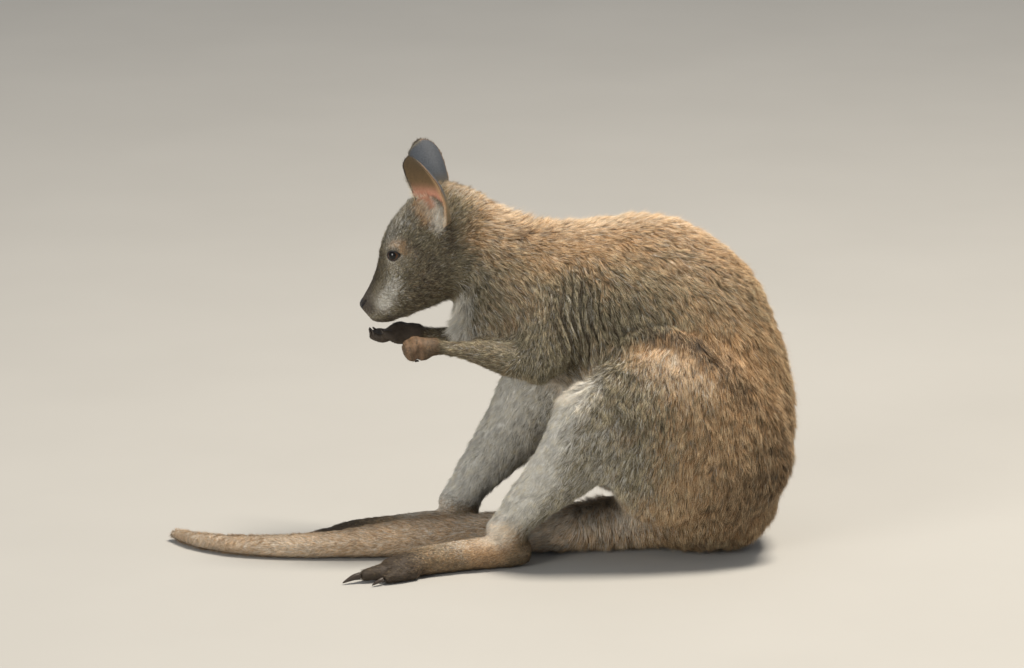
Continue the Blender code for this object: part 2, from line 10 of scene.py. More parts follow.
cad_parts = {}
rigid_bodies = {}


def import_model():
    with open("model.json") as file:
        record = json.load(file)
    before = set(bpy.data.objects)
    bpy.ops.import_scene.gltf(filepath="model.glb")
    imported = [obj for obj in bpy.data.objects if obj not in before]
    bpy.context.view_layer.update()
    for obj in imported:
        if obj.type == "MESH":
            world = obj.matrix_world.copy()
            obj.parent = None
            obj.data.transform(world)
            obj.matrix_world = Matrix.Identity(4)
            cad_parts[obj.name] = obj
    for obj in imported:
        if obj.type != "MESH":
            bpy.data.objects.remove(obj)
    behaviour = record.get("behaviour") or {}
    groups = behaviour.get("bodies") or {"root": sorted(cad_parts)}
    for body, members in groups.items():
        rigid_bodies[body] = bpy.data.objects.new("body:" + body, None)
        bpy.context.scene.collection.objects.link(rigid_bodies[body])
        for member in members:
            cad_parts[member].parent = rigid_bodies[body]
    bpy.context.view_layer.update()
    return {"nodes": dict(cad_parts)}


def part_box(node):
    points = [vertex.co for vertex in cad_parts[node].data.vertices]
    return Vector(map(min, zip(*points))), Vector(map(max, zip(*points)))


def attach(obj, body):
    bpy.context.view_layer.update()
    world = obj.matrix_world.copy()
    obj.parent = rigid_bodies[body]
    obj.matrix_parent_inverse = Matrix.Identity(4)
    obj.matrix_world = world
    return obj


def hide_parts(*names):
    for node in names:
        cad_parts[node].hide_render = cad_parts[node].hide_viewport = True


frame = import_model()
nodes = frame["nodes"]


# ----------------
# The hide.  One skin runs over the whole wallaby, ears and nose included, and closes over the cuts
# between the parts of the frame.  It lies inside them by the depth of the coat that grows on it,
# and has the lids, nostrils, lips and the folds of loose skin on the flank.
# ----------------
MM = 0.001
HIDE_VOXEL = 1.5 * MM
HIDE_FACES = 120000
CUT_CLOSING = 0.4 * MM
SMOOTHING_ROUNDS = 90
ANKLE_ROUNDS = 140
ANKLE_REACH = (0.022, 0.045)
PALM_SWELL, PALM_LIFT = 1.3, 1.2
FLESH = sorted(name for name in nodes if not name.startswith(("eye", "claw")))
SIDES = (("left", 1), ("right", -1))
# Places on the face are in mm left of, ahead of and above the point midway between the eyes.
EYE_SEAT = (24.5, 0.0, 0.0)
NOSE_TIP = (0, 35, -62)
LIPS = (5, 25, -68)
# Half the opening between the lids in mm: across, above its middle line and below it.
LID_OPENING = (7.3, 4.4, 5.3)
LID_THICKNESS = 0.9
LID_TUCK = 1.8
EYE_RADIUS = 8.8
# The way the left eye looks, as shares of the face's side, ahead and up.
EYE_AIM = (0.93, 0.36, 0.06)
# The share of the smoothing that each part takes, if not all of it.
EASE = {
    "head": 0.15, "nose": 0.05, "hand": 0.06, "foot": 0.15, "ear": 0.15,
    "forearm": 0.5, "tail_tip": 0.5, "tail_middle": 0.7,
}

# The coat on each part.  First its depth, its hairs' length and width, the hairs to a square mm and
# the size of a lock, all in mm.  Then the way it lies as (x, y, z), where x is outwards on either
# side.  Then how rufous, pale, dark and ticked it is.
SHAPE, LIE, TINT = range(3)
COAT = {
    "head": ((3.2, 7, 0.42, 1.7, 2.2), (0.2, 1, 0), (0.12, 0.04, 0.18, 0.9)),
    "nose": ((0, 2, 0.4, 0, 2), (0, 1, 0), (0, 0, 1, 0)),
    "ear": ((0.3, 3.8, 0.36, 1.3, 1.6), (0.2, -0.35, 0.92), (0.2, 0, 0.3, 0.5)),
    "neck": ((6.5, 13, 0.52, 1.45, 3), (0.1, 0.8, -0.6), (0.15, 0, 0.24, 1)),
    "chest": ((6, 13.5, 0.56, 1.2, 3.3), (0.1, 0.75, -0.65), (0.45, 0.04, 0.02, 1)),
    "loin": ((6.2, 14, 0.56, 1.2, 3.5), (0.1, 0.6, -0.8), (0.48, 0.06, 0, 0.8)),
    "rump": ((6.2, 15, 0.6, 1.05, 3.9), (0.1, 0.15, -1), (0.58, 0, 0.08, 0.8)),
    "thigh": ((6, 14, 0.56, 1.2, 3.8), (0, -0.15, -1), (0.62, 0.05, 0, 0.8)),
    "shank": ((4, 10, 0.48, 1.35, 3), (-0.1, -0.5, -0.85), (0.05, 0.3, 0.1, 1)),
    "foot": ((1.6, 5, 0.42, 1.3, 2.2), (0.05, -1, -0.1), (0.42, 0.1, 0.32, 0.5)),
    "upper_arm": ((4.5, 11, 0.5, 1.4, 3), (0, 0.1, -1), (0.22, 0.08, 0, 1)),
    "forearm": ((2.6, 7.5, 0.44, 1.6, 2.4), (0, -1, 0.1), (0.16, 0.05, 0.22, 1)),
    "hand": ((0.8, 3.2, 0.34, 1.6, 1.8), (0, -1, 0.2), (0.25, 0, 0.8, 0.1)),
    "tail_root": ((3.6, 10, 0.5, 1.25, 3), (0, -1, -0.1), (0.62, 0.42, 0, 0.5)),
    "tail_middle": ((2.2, 8, 0.44, 1.45, 2.4), (0, -1, 0), (0.7, 0.46, 0, 0.6)),
    "tail_tip": ((1.7, 7, 0.42, 1.5, 2.2), (-0.7, -0.7, 0), (0.69, 0.48, 0, 0.6)),
}
# The edge of the left thigh where it stands out from the flank, from the knee up, as (y, z) in mm.
THIGH_EDGE = ((114, 238), (134, 264), (160, 281), (198, 284), (232, 270), (262, 242))
# The crease on that edge, the swell within and the hollow beyond: place, half width, height in mm.
THIGH_SWELLS = ((0, 4.5, -4.5), (-15, 11, 3.5), (13, 14, -3.0))
# The folds of the flank: their middle and how far they reach from it, as (y, z) in metres.
FOLD_MIDDLE = (0.105, 0.290)
FOLD_REACH = (0.034, 0.052)
FOLD_WIDTH = 10.5 * MM
FOLD_HEIGHT = 3.2 * MM
FOLD_SLANT = 0.14
FOLD_WAVER = 0.003


def choose(obj):
    """Makes this the only chosen object."""
    bpy.ops.object.select_all(action="DESELECT")
    obj.select_set(True)
    bpy.context.view_layer.objects.active = obj


def edit(obj, change, **settings):
    """Makes this change to an object's whole mesh in edit mode."""
    choose(obj)
    bpy.ops.object.mode_set(mode="EDIT")
    bpy.ops.mesh.select_all(action="SELECT")
    change(**settings)
    bpy.ops.object.mode_set(mode="OBJECT")


def copy_of(names, label):
    """One object with copies of these parts of the frame, their loose triangles merged."""
    bpy.ops.object.select_all(action="DESELECT")
    for name in names:
        nodes[name].select_set(True)
    bpy.context.view_layer.objects.active = nodes[names[0]]
    bpy.ops.object.duplicate()
    bpy.ops.object.join()
    copy = bpy.context.object
    bpy.ops.object.parent_clear(type="CLEAR_KEEP_TRANSFORM")
    copy.name = label
    for key in list(copy.keys()):
        del copy[key]
    copy.data.materials.clear()
    bpy.ops.mesh.customdata_custom_splitnormals_clear()
    edit(copy, bpy.ops.mesh.remove_doubles, threshold=0.01 * MM)
    return copy


def apply_modifier(obj, kind, **settings):
    choose(obj)
    modifier = obj.modifiers.new(kind.title(), kind)
    for key, value in settings.items():
        setattr(modifier, key, value)
    bpy.ops.object.modifier_apply(modifier=modifier.name)


def numbers_of(items, name, width, kind=np.float32):
    """The named numbers of all these items of a mesh, one row for each item."""
    flat = np.empty(len(items) * width, kind)
    items.foreach_get(name, flat)
    return flat.reshape(-1, width).astype(float if kind == np.float32 else int)


def set_points(mesh, points):
    mesh.vertices.foreach_set("co", points.astype(np.float32).ravel())
    mesh.update()


def spread(values, edges, rounds, share=0.5):
    """Values at the vertices, each drawn this many times towards its neighbours' mean."""
    if values.ndim == 1:
        return spread(values[:, None], edges, rounds, share)[:, 0]
    a, b = edges.T
    count = len(values)
    degree = np.bincount(a, minlength=count) + np.bincount(b, minlength=count)
    degree = np.maximum(degree, 1)[:, None]
    for _ in range(rounds):
        total = np.empty_like(values)
        for column in range(values.shape[1]):
            total[:, column] = np.bincount(a, values[b, column], count)
            total[:, column] += np.bincount(b, values[a, column], count)
        values = values + (total / degree - values) * share
    return values


def kinds_at(points):
    """The part of the frame that each point lies nearest to, by its name without its side."""
    corners, faces, owners = [], [], []
    for name in FLESH:
        mesh = nodes[name].data
        first = len(corners)
        corners += [vertex.co for vertex in mesh.vertices]
        faces += [[first + corner for corner in face.vertices] for face in mesh.polygons]
        owners += [name.removesuffix("_left").removesuffix("_right")] * len(mesh.polygons)
    tree = BVHTree.FromPolygons(corners, faces)
    return np.array([owners[tree.find_nearest(point)[2]] for point in points])


def step(low, high, values):
    """0 below low and 1 above high, with a smooth rise between them."""
    t = np.clip((values - low) / (high - low), 0, 1)
    return t * t * (3 - 2 * t)


def hump(distance, width, power=2):
    """1 at no distance, falling smoothly to nothing past this width on either side."""
    return np.exp(-((distance / width) ** power))


def far_from(spot, places):
    return np.linalg.norm(places - spot, axis=1)


def unit(vectors):
    """A vector, or each row of several, brought to a length of one."""
    return vectors / np.maximum(np.linalg.norm(vectors, axis=-1, keepdims=True), 1e-9)


def centre_of(box):
    low, high = box
    return (np.array(low) + np.array(high)) / 2


EYE_CENTRES = {side: centre_of(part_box(f"eye_{side}")) for side, _ in SIDES}
FACE_MIDDLE = (EYE_CENTRES["left"] + EYE_CENTRES["right"]) / 2
FACE_SIDE = unit(unit(EYE_CENTRES["left"] - EYE_CENTRES["right"]) * (1, 1, 0))
FACE_UP = np.array((0.0, 0.0, 1.0))
FACE_AHEAD = np.cross(FACE_SIDE, FACE_UP)
FACE_AXES = np.stack((FACE_SIDE, FACE_AHEAD, FACE_UP))


def on_face(points):
    """The points as places on the face, in mm to its left, ahead and up."""
    return (points - FACE_MIDDLE) @ FACE_AXES.T / MM


def mirrored(places):
    """The places on the face, with those on its right moved to the same spot on its left."""
    return places * (0, 1, 1) + np.abs(places) * (1, 0, 0)


def to_line(places, start, end):
    """How far each place is from the line between two others."""
    start, end = np.array(start, float), np.array(end, float)
    share = np.clip((places - start) @ (end - start) / ((end - start) @ (end - start)), 0, 1)
    return np.linalg.norm(places - start - share[:, None] * (end - start), axis=1)


def coat_at(kind, what):
    """One row of the coat's SHAPE, LIE or TINT for each of these kinds of part."""
    return np.array([COAT[name][what] for name in kind], float)


def hide_normals(rounds):
    """The hide's outward directions at its vertices, evened out this many times."""
    return unit(spread(numbers_of(hide.data.vertex_normals, "vector", 3), edges, rounds))


def gaze(sign):
    """The way the eye on this side looks."""
    side, ahead, up = EYE_AIM
    return unit(FACE_SIDE * sign * side + FACE_AHEAD * ahead + FACE_UP * up)


hide = copy_of(FLESH + ["eye_left", "eye_right"], "hide")
edit(hide, bpy.ops.transform.shrink_fatten, value=CUT_CLOSING)
apply_modifier(hide, "REMESH", mode="VOXEL", voxel_size=HIDE_VOXEL)

# The trunk and thighs are smoothed of the frame's facets, the face and paws hardly at all, and
# the bend of each ankle the most.
points = numbers_of(hide.data.vertices, "co", 3)
edges = numbers_of(hide.data.edges, "vertices", 2, np.int32)
kind = kinds_at(points)
ease = np.array([EASE.get(name, 1.0) for name in kind])[:, None]
ease = spread(ease, edges, 12)
points = spread(points, edges, SMOOTHING_ROUNDS, 0.5 * ease)
points = spread(points, edges, 2)
for side, sign in SIDES:
    foot_low, foot_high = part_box(f"foot_{side}")
    shank_low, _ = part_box(f"shank_{side}")
    ankle = ((foot_low[0] + foot_high[0]) / 2, shank_low[1] + 0.024, foot_high[2] - 0.006)
    near = 1 - step(*ANKLE_REACH, far_from(ankle, points))
    near[(points[:, 2] < 0.010) | (points[:, 0] * sign < 0.02)] = 0
    points = spread(points, edges, ANKLE_ROUNDS, 0.5 * near[:, None])
set_points(hide.data, points)

# The hide sinks by the depth of the coat, which is thin round the eyes and mouth.
places = on_face(points)
near_eye = far_from(EYE_SEAT, mirrored(places))
near_nose = far_from(NOSE_TIP, places)
on_head = np.isin(kind, ("head", "nose"))
depth = coat_at(kind, SHAPE)[:, 0]
bare_face = np.minimum(step(12, 34, near_eye), step(16, 60, near_nose))
depth = np.where(on_head, 0.5 + (depth - 0.5) * bare_face, depth)
depth = spread(depth[:, None], edges, 60)
normal = hide_normals(6)
points = points - normal * depth * MM

# The far hand is the fuller of the two, its palm up under the mouth.
palm = (kind == "hand") & (points[:, 0] < -0.005)
palm = spread(palm[:, None].astype(float), edges, 14)
points += (normal * PALM_SWELL + FACE_UP * PALM_LIFT) * palm * MM

# Each thigh stands out from the flank, with a crease along its upper edge.
forward_shift = {1: 0.0, -1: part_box("thigh_right")[0][1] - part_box("thigh_left")[0][1]}
for sign, shift in forward_shift.items():
    flat = np.column_stack((points[:, 1] - shift, points[:, 2])) / MM
    away = np.full(len(points), 1e3)
    outside = np.zeros(len(points))
    for start, end in zip(THIGH_EDGE, THIGH_EDGE[1:]):
        distance = to_line(flat, start, end)
        run_y, run_z = np.subtract(end, start)
        above = np.sign((flat - start) @ (-run_z, run_y))
        outside = np.where(distance < away, above, outside)
        away = np.minimum(distance, away)
    beyond = away * outside
    ends = step(-6, 14, flat[:, 0] - THIGH_EDGE[0][0])
    ends *= 1 - step(-35, 5, flat[:, 0] - THIGH_EDGE[-1][0])
    ends *= (points[:, 0] * sign > 0.045) & np.isin(kind, ("thigh", "loin", "rump", "chest"))
    push = sum(height * hump(beyond - place, width) for place, width, height in THIGH_SWELLS)
    points += normal * spread((push * ends * MM)[:, None], edges, 4)


def flank_folds(points):
    """How far each place is in the folds, and how high it is on their wave."""
    above = points[:, 2] - FOLD_MIDDLE[1]
    run = points[:, 1] - FOLD_MIDDLE[0] + FOLD_SLANT * above
    run += FOLD_WAVER * np.sin(points[:, 2] * 90)
    share = np.exp(-((run / FOLD_REACH[0]) ** 2) - (above / FOLD_REACH[1]) ** 2)
    share *= step(0.03, 0.05, np.abs(points[:, 0]))
    return share, np.sin(run / FOLD_WIDTH * 2 * math.pi)


# Loose skin hangs in upright folds on the flank, behind the elbow.
fold_share, wave = flank_folds(points)
fold_share = spread((fold_share * np.isin(kind, ("chest", "loin")))[:, None], edges, 12)
points += normal * wave[:, None] * fold_share * FOLD_HEIGHT
set_points(hide.data, points)

# Broad surfaces get larger faces than the face and paws, and the eyes, nose and lips the smallest.
coarse = hide.vertex_groups.new(name="coarse")
for level in range(11):
    chosen = np.flatnonzero(np.round(ease[:, 0] * 10) == level)
    coarse.add(chosen.tolist(), level / 10, "REPLACE")
fewer = {"ratio": HIDE_FACES / 2 / len(hide.data.polygons), "use_collapse_triangulate": True}
apply_modifier(hide, "DECIMATE", vertex_group="coarse", vertex_group_factor=0.00002, **fewer)
hide.vertex_groups.clear()
for reach in (17, 13):
    middles = mirrored(on_face(numbers_of(hide.data.polygons, "center", 3)))
    near_mouth = np.linalg.norm((middles - LIPS) / (1, 1.5, 1), axis=1)
    choose(hide)
    small = (far_from(EYE_SEAT, middles) < reach) | (near_mouth < reach)
    hide.data.polygons.foreach_set("select", small)
    hide.data.update()
    bpy.ops.object.mode_set(mode="EDIT")
    bpy.context.tool_settings.mesh_select_mode = (False, False, True)
    bpy.ops.mesh.subdivide(number_cuts=1, smoothness=0.0)
    bpy.ops.object.mode_set(mode="OBJECT")
edit(hide, bpy.ops.mesh.quads_convert_to_tris, quad_method="BEAUTY", ngon_method="BEAUTY")

# Lids: the hide rises to the rim of each eye's opening and drops behind the ball inside it.
points = numbers_of(hide.data.vertices, "co", 3)
edges = numbers_of(hide.data.edges, "vertices", 2, np.int32)
lid_rim, lid_edge, corner_line = np.zeros((3, len(points)))
for side, sign in SIDES:
    outward = gaze(sign)
    forward = unit(FACE_AHEAD - outward * (FACE_AHEAD @ outward) - FACE_UP * 0.12)
    upward = np.cross(forward, outward) * sign
    offset = (points - EYE_CENTRES[side]) / MM
    reach = np.maximum(np.linalg.norm(offset, axis=1), 1e-6)
    out = offset @ outward
    polar = np.arccos(np.clip(out / reach, -1, 1))
    spin = np.arctan2(offset @ upward, offset @ forward)
    x, y = polar * EYE_RADIUS * np.cos(spin), polar * EYE_RADIUS * np.sin(spin)
    tall = np.where(y > 0, LID_OPENING[1], LID_OPENING[2])
    rim = ((np.abs(x) / LID_OPENING[0]) ** 1.6 + (np.abs(y) / tall) ** 1.6) ** (1 / 1.6)
    beyond = (rim - 1) * 5.0
    lid = EYE_RADIUS + LID_THICKNESS - 0.35 * hump(beyond - 2.0, 0.7)
    lid += 0.3 * hump(beyond - 3.6, 0.9)
    inside = EYE_RADIUS - LID_TUCK
    target = inside + (lid - inside) * step(-0.5, 0.35, beyond)
    share = (1 - step(2.0, 8.0, beyond)) * (reach < 24) * (out > -3)
    points += (offset / reach[:, None]) * ((target - reach) * share * MM)[:, None]
    near = (reach < 18) & (out > 0)
    lid_rim = np.maximum(lid_rim, (1 - step(0.6, np.where(y > 0, 3.2, 1.8), beyond)) * near)
    lid_edge = np.maximum(lid_edge, hump(beyond - 2.9, 0.9) * (y < 0) * near)
    from_corner = np.abs(y + 0.10 * np.abs(x))
    corner_line = np.maximum(corner_line, hump(from_corner, 1.3) * (np.abs(x) < 13) * near)

# Nostrils, the groove under the nose, the line of the mouth, the hollow before each ear and the
# furrows between the folded fingers of the left hand.
KNUCKLE_PITCH = 7.5 * MM
NOSTRIL_DEPTH, GROOVE_DEPTH, MOUTH_DEPTH, CONCH_DEPTH, FURROW_DEPTH = 3.2, 0.9, 1.3, 3.5, 0.5
kind = kinds_at(points)
places = mirrored(on_face(points))
nostril = hump(to_line(places, (6.0, 39.5, -62.5), (8.6, 36.5, -57.0)), 1.9)
groove = hump(to_line(places, (0, 40, -68), (0, 37, -77)), 0.9)
front_lip = to_line(places, (0, 37, -77), (9, 30, -76))
side_lip = to_line(places, (9, 30, -76), (17, 7, -72.5))
mouth = hump(np.minimum(front_lip, side_lip), 1.0)
conch = hump(to_line(places, (20, -37, 57), (26, -44, 47)), 6.0) * (kind == "head")
conch = spread(conch, edges, 2)
fingers = (kind == "hand") * (points[:, 0] > 0) * (points[:, 1] < -0.072)
turns = points[:, 1] / KNUCKLE_PITCH * 2 * math.pi + points[:, 2] * 90
knuckle = fingers * (0.5 + 0.5 * np.sin(turns))
sink = NOSTRIL_DEPTH * nostril + GROOVE_DEPTH * groove + MOUTH_DEPTH * mouth + CONCH_DEPTH * conch
sink += FURROW_DEPTH * (1 - knuckle) ** 4 * (knuckle > 0)
set_points(hide.data, points)
points -= hide_normals(2) * (sink * MM)[:, None]
set_points(hide.data, points)
hide.data.shade_smooth()

# The tints of the coat, blended from part to part, with the marks of the face and body on them.
# Each mark has a tint, its strength, the ends of its middle line and its half width in mm, and a
# mark of the body the parts that it lies on.
RUFOUS, PALE, DARK, TICKED = range(4)
FACE_MARKS = (
    (PALE, 0.26, (29, 2, -17), (26, 0, -35), 9),
    (PALE, 0.54, (25, 1, -38), (18, 12, -57), 11),
    (PALE, 0.28, (16, 15, -60), (10, 27, -68), 6.5),
    (RUFOUS, 0.6, (28, 10, 12), (31, -8, 14), 4.5),
    (PALE, 0.25, (28, 10, 11), (30, -4, 13), 3.5),
    (RUFOUS, 0.6, (33, -9, 6), (34, -17, 3), 5.5),
    (DARK, 0.45, (34, -14, 12), (36, -26, 4), 8),
    (DARK, 0.75, (0, 10, -6), (0, 34, -50), 15),
    (DARK, 0.9, (0, 36, -60), (10, 31, -64), 9),
    (DARK, 0.75, (0, 30, -82), (18, 0, -76), 7),
    (DARK, 0.42, (40, -45, -10), (30, -20, -62), 26),
    (PALE, 0.95, (0, -20, -88), (0, -60, -78), 20),
    (PALE, 1, (20, -34, 56), (26, -44, 48), 9),
    (PALE, 1, (25, -43, 50), (34, -50, 36), 10),
    (RUFOUS, 0.8, (18, -22, 60), (28, -34, 38), 7.5),
    (RUFOUS, 0.35, (22, -36, 56), (32, -48, 38), 12),
    (DARK, 0.7, (37, -58, 36), (38, -62, 14), 7),
    (RUFOUS, 0.6, (10, -84, 40), (26, -84, 24), 18),
    (PALE, 0.34, (12, 8, 28), (14, -6, 44), 22),
    (RUFOUS, 0.52, (0, -66, 66), (0, -128, 42), 24),
    (PALE, 0.42, (0, -66, 70), (0, -128, 48), 20),
)
BODY_MARKS = (
    (RUFOUS, 0.6, (0, 110, 395), (0, 275, 385), 60, "chest loin rump"),
    # Partly painted light: the pale along the top of the back is partly the coat's own colour and
    # partly light from above.
    (PALE, 0.46, (0, 110, 400), (0, 275, 390), 46, "chest loin rump"),
    (RUFOUS, 0.55, (0, 20, 385), (0, 160, 395), 60, "neck chest"),
    # Partly painted light along the top of the neck, as on the back.
    (PALE, 0.36, (0, 10, 385), (0, 120, 395), 42, "neck chest"),
    (TICKED, 0.8, (105, 20, 245), (105, 150, 290), 56, "chest loin upper_arm"),
    # Partly painted shade: the dark on the flank and upper arm is partly the coat's own grey and
    # partly shade.
    (DARK, 0.32, (105, 20, 250), (105, 130, 290), 52, "chest loin upper_arm"),
    (PALE, 1, (0, -38, 296), (0, -22, 250), 34, "neck chest upper_arm"),
    (PALE, 0.95, (0, 20, 215), (0, 110, 215), 48, "chest loin"),
    (PALE, 0.9, (0, 90, 175), (0, 190, 100), 62, "rump loin thigh"),
    (TICKED, 0.9, (105, 140, 235), (105, 130, 130), 52, "thigh"),
    (PALE, 0.9, (100, 104, 240), (92, 52, 118), 22, "thigh shank"),
    (PALE, 0.92, (90, 52, 118), (80, 8, 50), 20, "shank foot"),
    (PALE, 0.8, (58, 72, 235), (58, -22, 70), 40, "thigh shank"),
    (PALE, 0.8, (30, 120, 60), (30, 160, 160), 60, "thigh shank loin"),
    # Partly painted shade: darker low on the rear of the rump and thigh, partly the coat's own
    # brown and partly shade near the floor.
    (DARK, 0.5, (100, 270, 60), (90, 335, 150), 62, "rump thigh"),
    (RUFOUS, 0.6, (85, 16, 48), (85, -10, 26), 20, "shank foot"),
    (PALE, 0.35, (80, 4, 52), (84, -30, 44), 24, "foot"),
    (PALE, 0.55, (56, -30, 60), (58, -80, 42), 24, "foot shank"),
    (DARK, 0.92, (106, -118, 10), (112, -165, 8), 38, "foot"),
    (DARK, 0.92, (62, -156, 10), (60, -200, 8), 38, "foot"),
    (RUFOUS, 0.7, (80, 180, 262), (80, 260, 252), 40, "thigh"),
    (PALE, 0.42, (115, 190, 252), (115, 235, 238), 34, "thigh"),
    # Painted shadow along the upper edge of the thigh, where it stands out from the flank, in this
    # mark and the next.
    (DARK, 0.6, (82, 160, 282), (94, 231, 266), 9, "thigh loin rump"),
    (DARK, 0.52, (94, 231, 264), (104, 282, 205), 17, "thigh loin rump"),
    (DARK, 0.8, (0, -74, 262), (0, -130, 262), 36, "forearm"),
    (DARK, 0.45, (60, -72, 240), (64, -52, 236), 9, "forearm hand"),
    # Partly painted light: paler fur at the tail root between the legs, partly its own colour and
    # partly painted light against the shade there.
    (PALE, 0.5, (20, 50, 45), (20, 140, 60), 45, "tail_root rump"),
    (DARK, 0.35, (0, -30, 50), (0, -180, 40), 8, "tail_root tail_middle"),
)
tint = spread(coat_at(kind, TINT), edges, 30)


def add_mark(places, kinds, column, strength, start, end, width):
    """Tints the hide along a line, strongest on it and fading out beyond its width."""
    share = strength * hump(to_line(places, start, end), width, 2.4) * np.isin(kind, kinds.split())
    tint[:, column] += (1 - tint[:, column]) * share
    if column == TICKED:
        tint[:, RUFOUS] *= 1 - share
    if column in (PALE, DARK):
        tint[:, PALE + DARK - column] *= 1 - share


for face_mark in FACE_MARKS:
    add_mark(mirrored(on_face(points)), "head neck", *face_mark)
for *body_mark, kinds in BODY_MARKS:
    add_mark(mirrored(points / MM), kinds, *body_mark)
# The left fist is a dark red-brown, and the right arm darker from the elbow down: partly its own
# colour and partly painted shade on the far side.
FIST_TINT = (0.65, 0.0, 0.55, 0.0)
FAR_ARM_DARK_AND_SHADE = 0.42
tint[(kind == "hand") & (points[:, 0] > 0)] = FIST_TINT
tint[(kind == "forearm") & (points[:, 0] < 0), DARK] = FAR_ARM_DARK_AND_SHADE
tint[:, PALE] += (1 - tint[:, PALE]) * 0.25 * lid_edge
tint[:, DARK] *= 1 - 0.6 * lid_edge
tint[:, DARK] += (1 - tint[:, DARK]) * 0.75 * corner_line * (1 - lid_edge)
tint = spread(tint, edges, 2)

# Where hair gives way to skin, in four columns: the leather of the nose, the pink inside the ears,
# the dark rims of the lids and ears with painted shade in the nostrils and the line of the mouth,
# and the slate hair on the backs of the ears.
LEATHER, PINK, RIM_AND_CREASE_SHADE, SLATE = range(4)
EAR_LENGTH = 0.084
EAR_HOLLOW = 0.006
# Each ear's upward line, the way its hollow faces, and how far from the midline it starts.
EAR_AXES = {"left": (0.20, -0.37, 0.91), "right": (-0.20, -0.33, 0.92)}
EAR_FACINGS = {"left": (0.72, -0.69, 0.0), "right": (-0.93, -0.37, 0.0)}
EAR_STARTS = {"left": 0.0, "right": 0.012}
normal = hide_normals(3)
is_ear = kind == "ear"
ear_up, ear_inside, ear_root = np.zeros((3, len(points)))
for side, sign in SIDES:
    centre = centre_of(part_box(f"ear_{side}"))
    axis, facing = unit(EAR_AXES[side]), unit(EAR_FACINGS[side])
    here = is_ear & (points[:, 0] * sign > EAR_STARTS[side])
    offset = points - centre
    rise = offset @ axis / EAR_LENGTH + 0.5
    middle = centre + axis * ((rise - 0.5) * EAR_LENGTH)[:, None] + facing * EAR_HOLLOW
    towards = ((middle - points) * normal).sum(1)
    ear_up[here] = rise[here]
    ear_inside[here] = step(-0.001, 0.002, towards)[here]
    frontal = step(-0.3, 0.4, normal @ facing) * (1 - step(0.20, 0.40, rise)) * here
    ear_root = np.maximum(ear_root, frontal)
    # On the ears the rufous tint says how far towards the rear rim a place is.
    behind = (offset @ np.cross(axis, facing)) * sign
    tint[here, RUFOUS] = step(0.002, 0.012, behind)[here]
tint[:, PALE] = np.maximum(tint[:, PALE], 0.95 * ear_root)
tint[:, DARK] *= 1 - ear_root
ear_rim = spread(ear_inside, edges, 2)
ear_rim = 4 * ear_rim * (1 - ear_rim) * is_ear
broad_rim = step(0.08, 0.35, spread(ear_inside, edges, 24))
conch_skin = hump(to_line(places, (17, -33, 64), (22, -39, 55)), 5.5, 4) * (kind == "head")
root_skin = 0.8 * ear_root * step(0.10, 0.24, ear_up)
bare = np.zeros((len(points), 4))
bare[:, LEATHER] = spread((kind == "nose").astype(float), edges, 2)
# The pink on the tops of the left fist's knuckles is partly pink skin and partly painted highlight.
bare[:, PINK] = np.maximum.reduce((ear_inside, conch_skin, 0.15 * knuckle, root_skin))
upper_rim = 0.75 * ear_rim * step(0.3, 0.6, ear_up)
# Rims of the lids and ears, with painted shade in the nostrils and along the line of the mouth.
bare[:, RIM_AND_CREASE_SHADE] = np.maximum.reduce((lid_rim, nostril, mouth * 0.8, upper_rim))
bare[:, SLATE] = is_ear * (1 - ear_root) * (1 - ear_inside) * (1 - 0.9 * broad_rim)


def add_colours(mesh, name, values):
    layer = mesh.color_attributes.new(name, "FLOAT_COLOR", "POINT")
    layer.data.foreach_set("color", values.astype(np.float32).ravel())


add_colours(hide.data, "tint", tint)
add_colours(hide.data, "bare", bare)


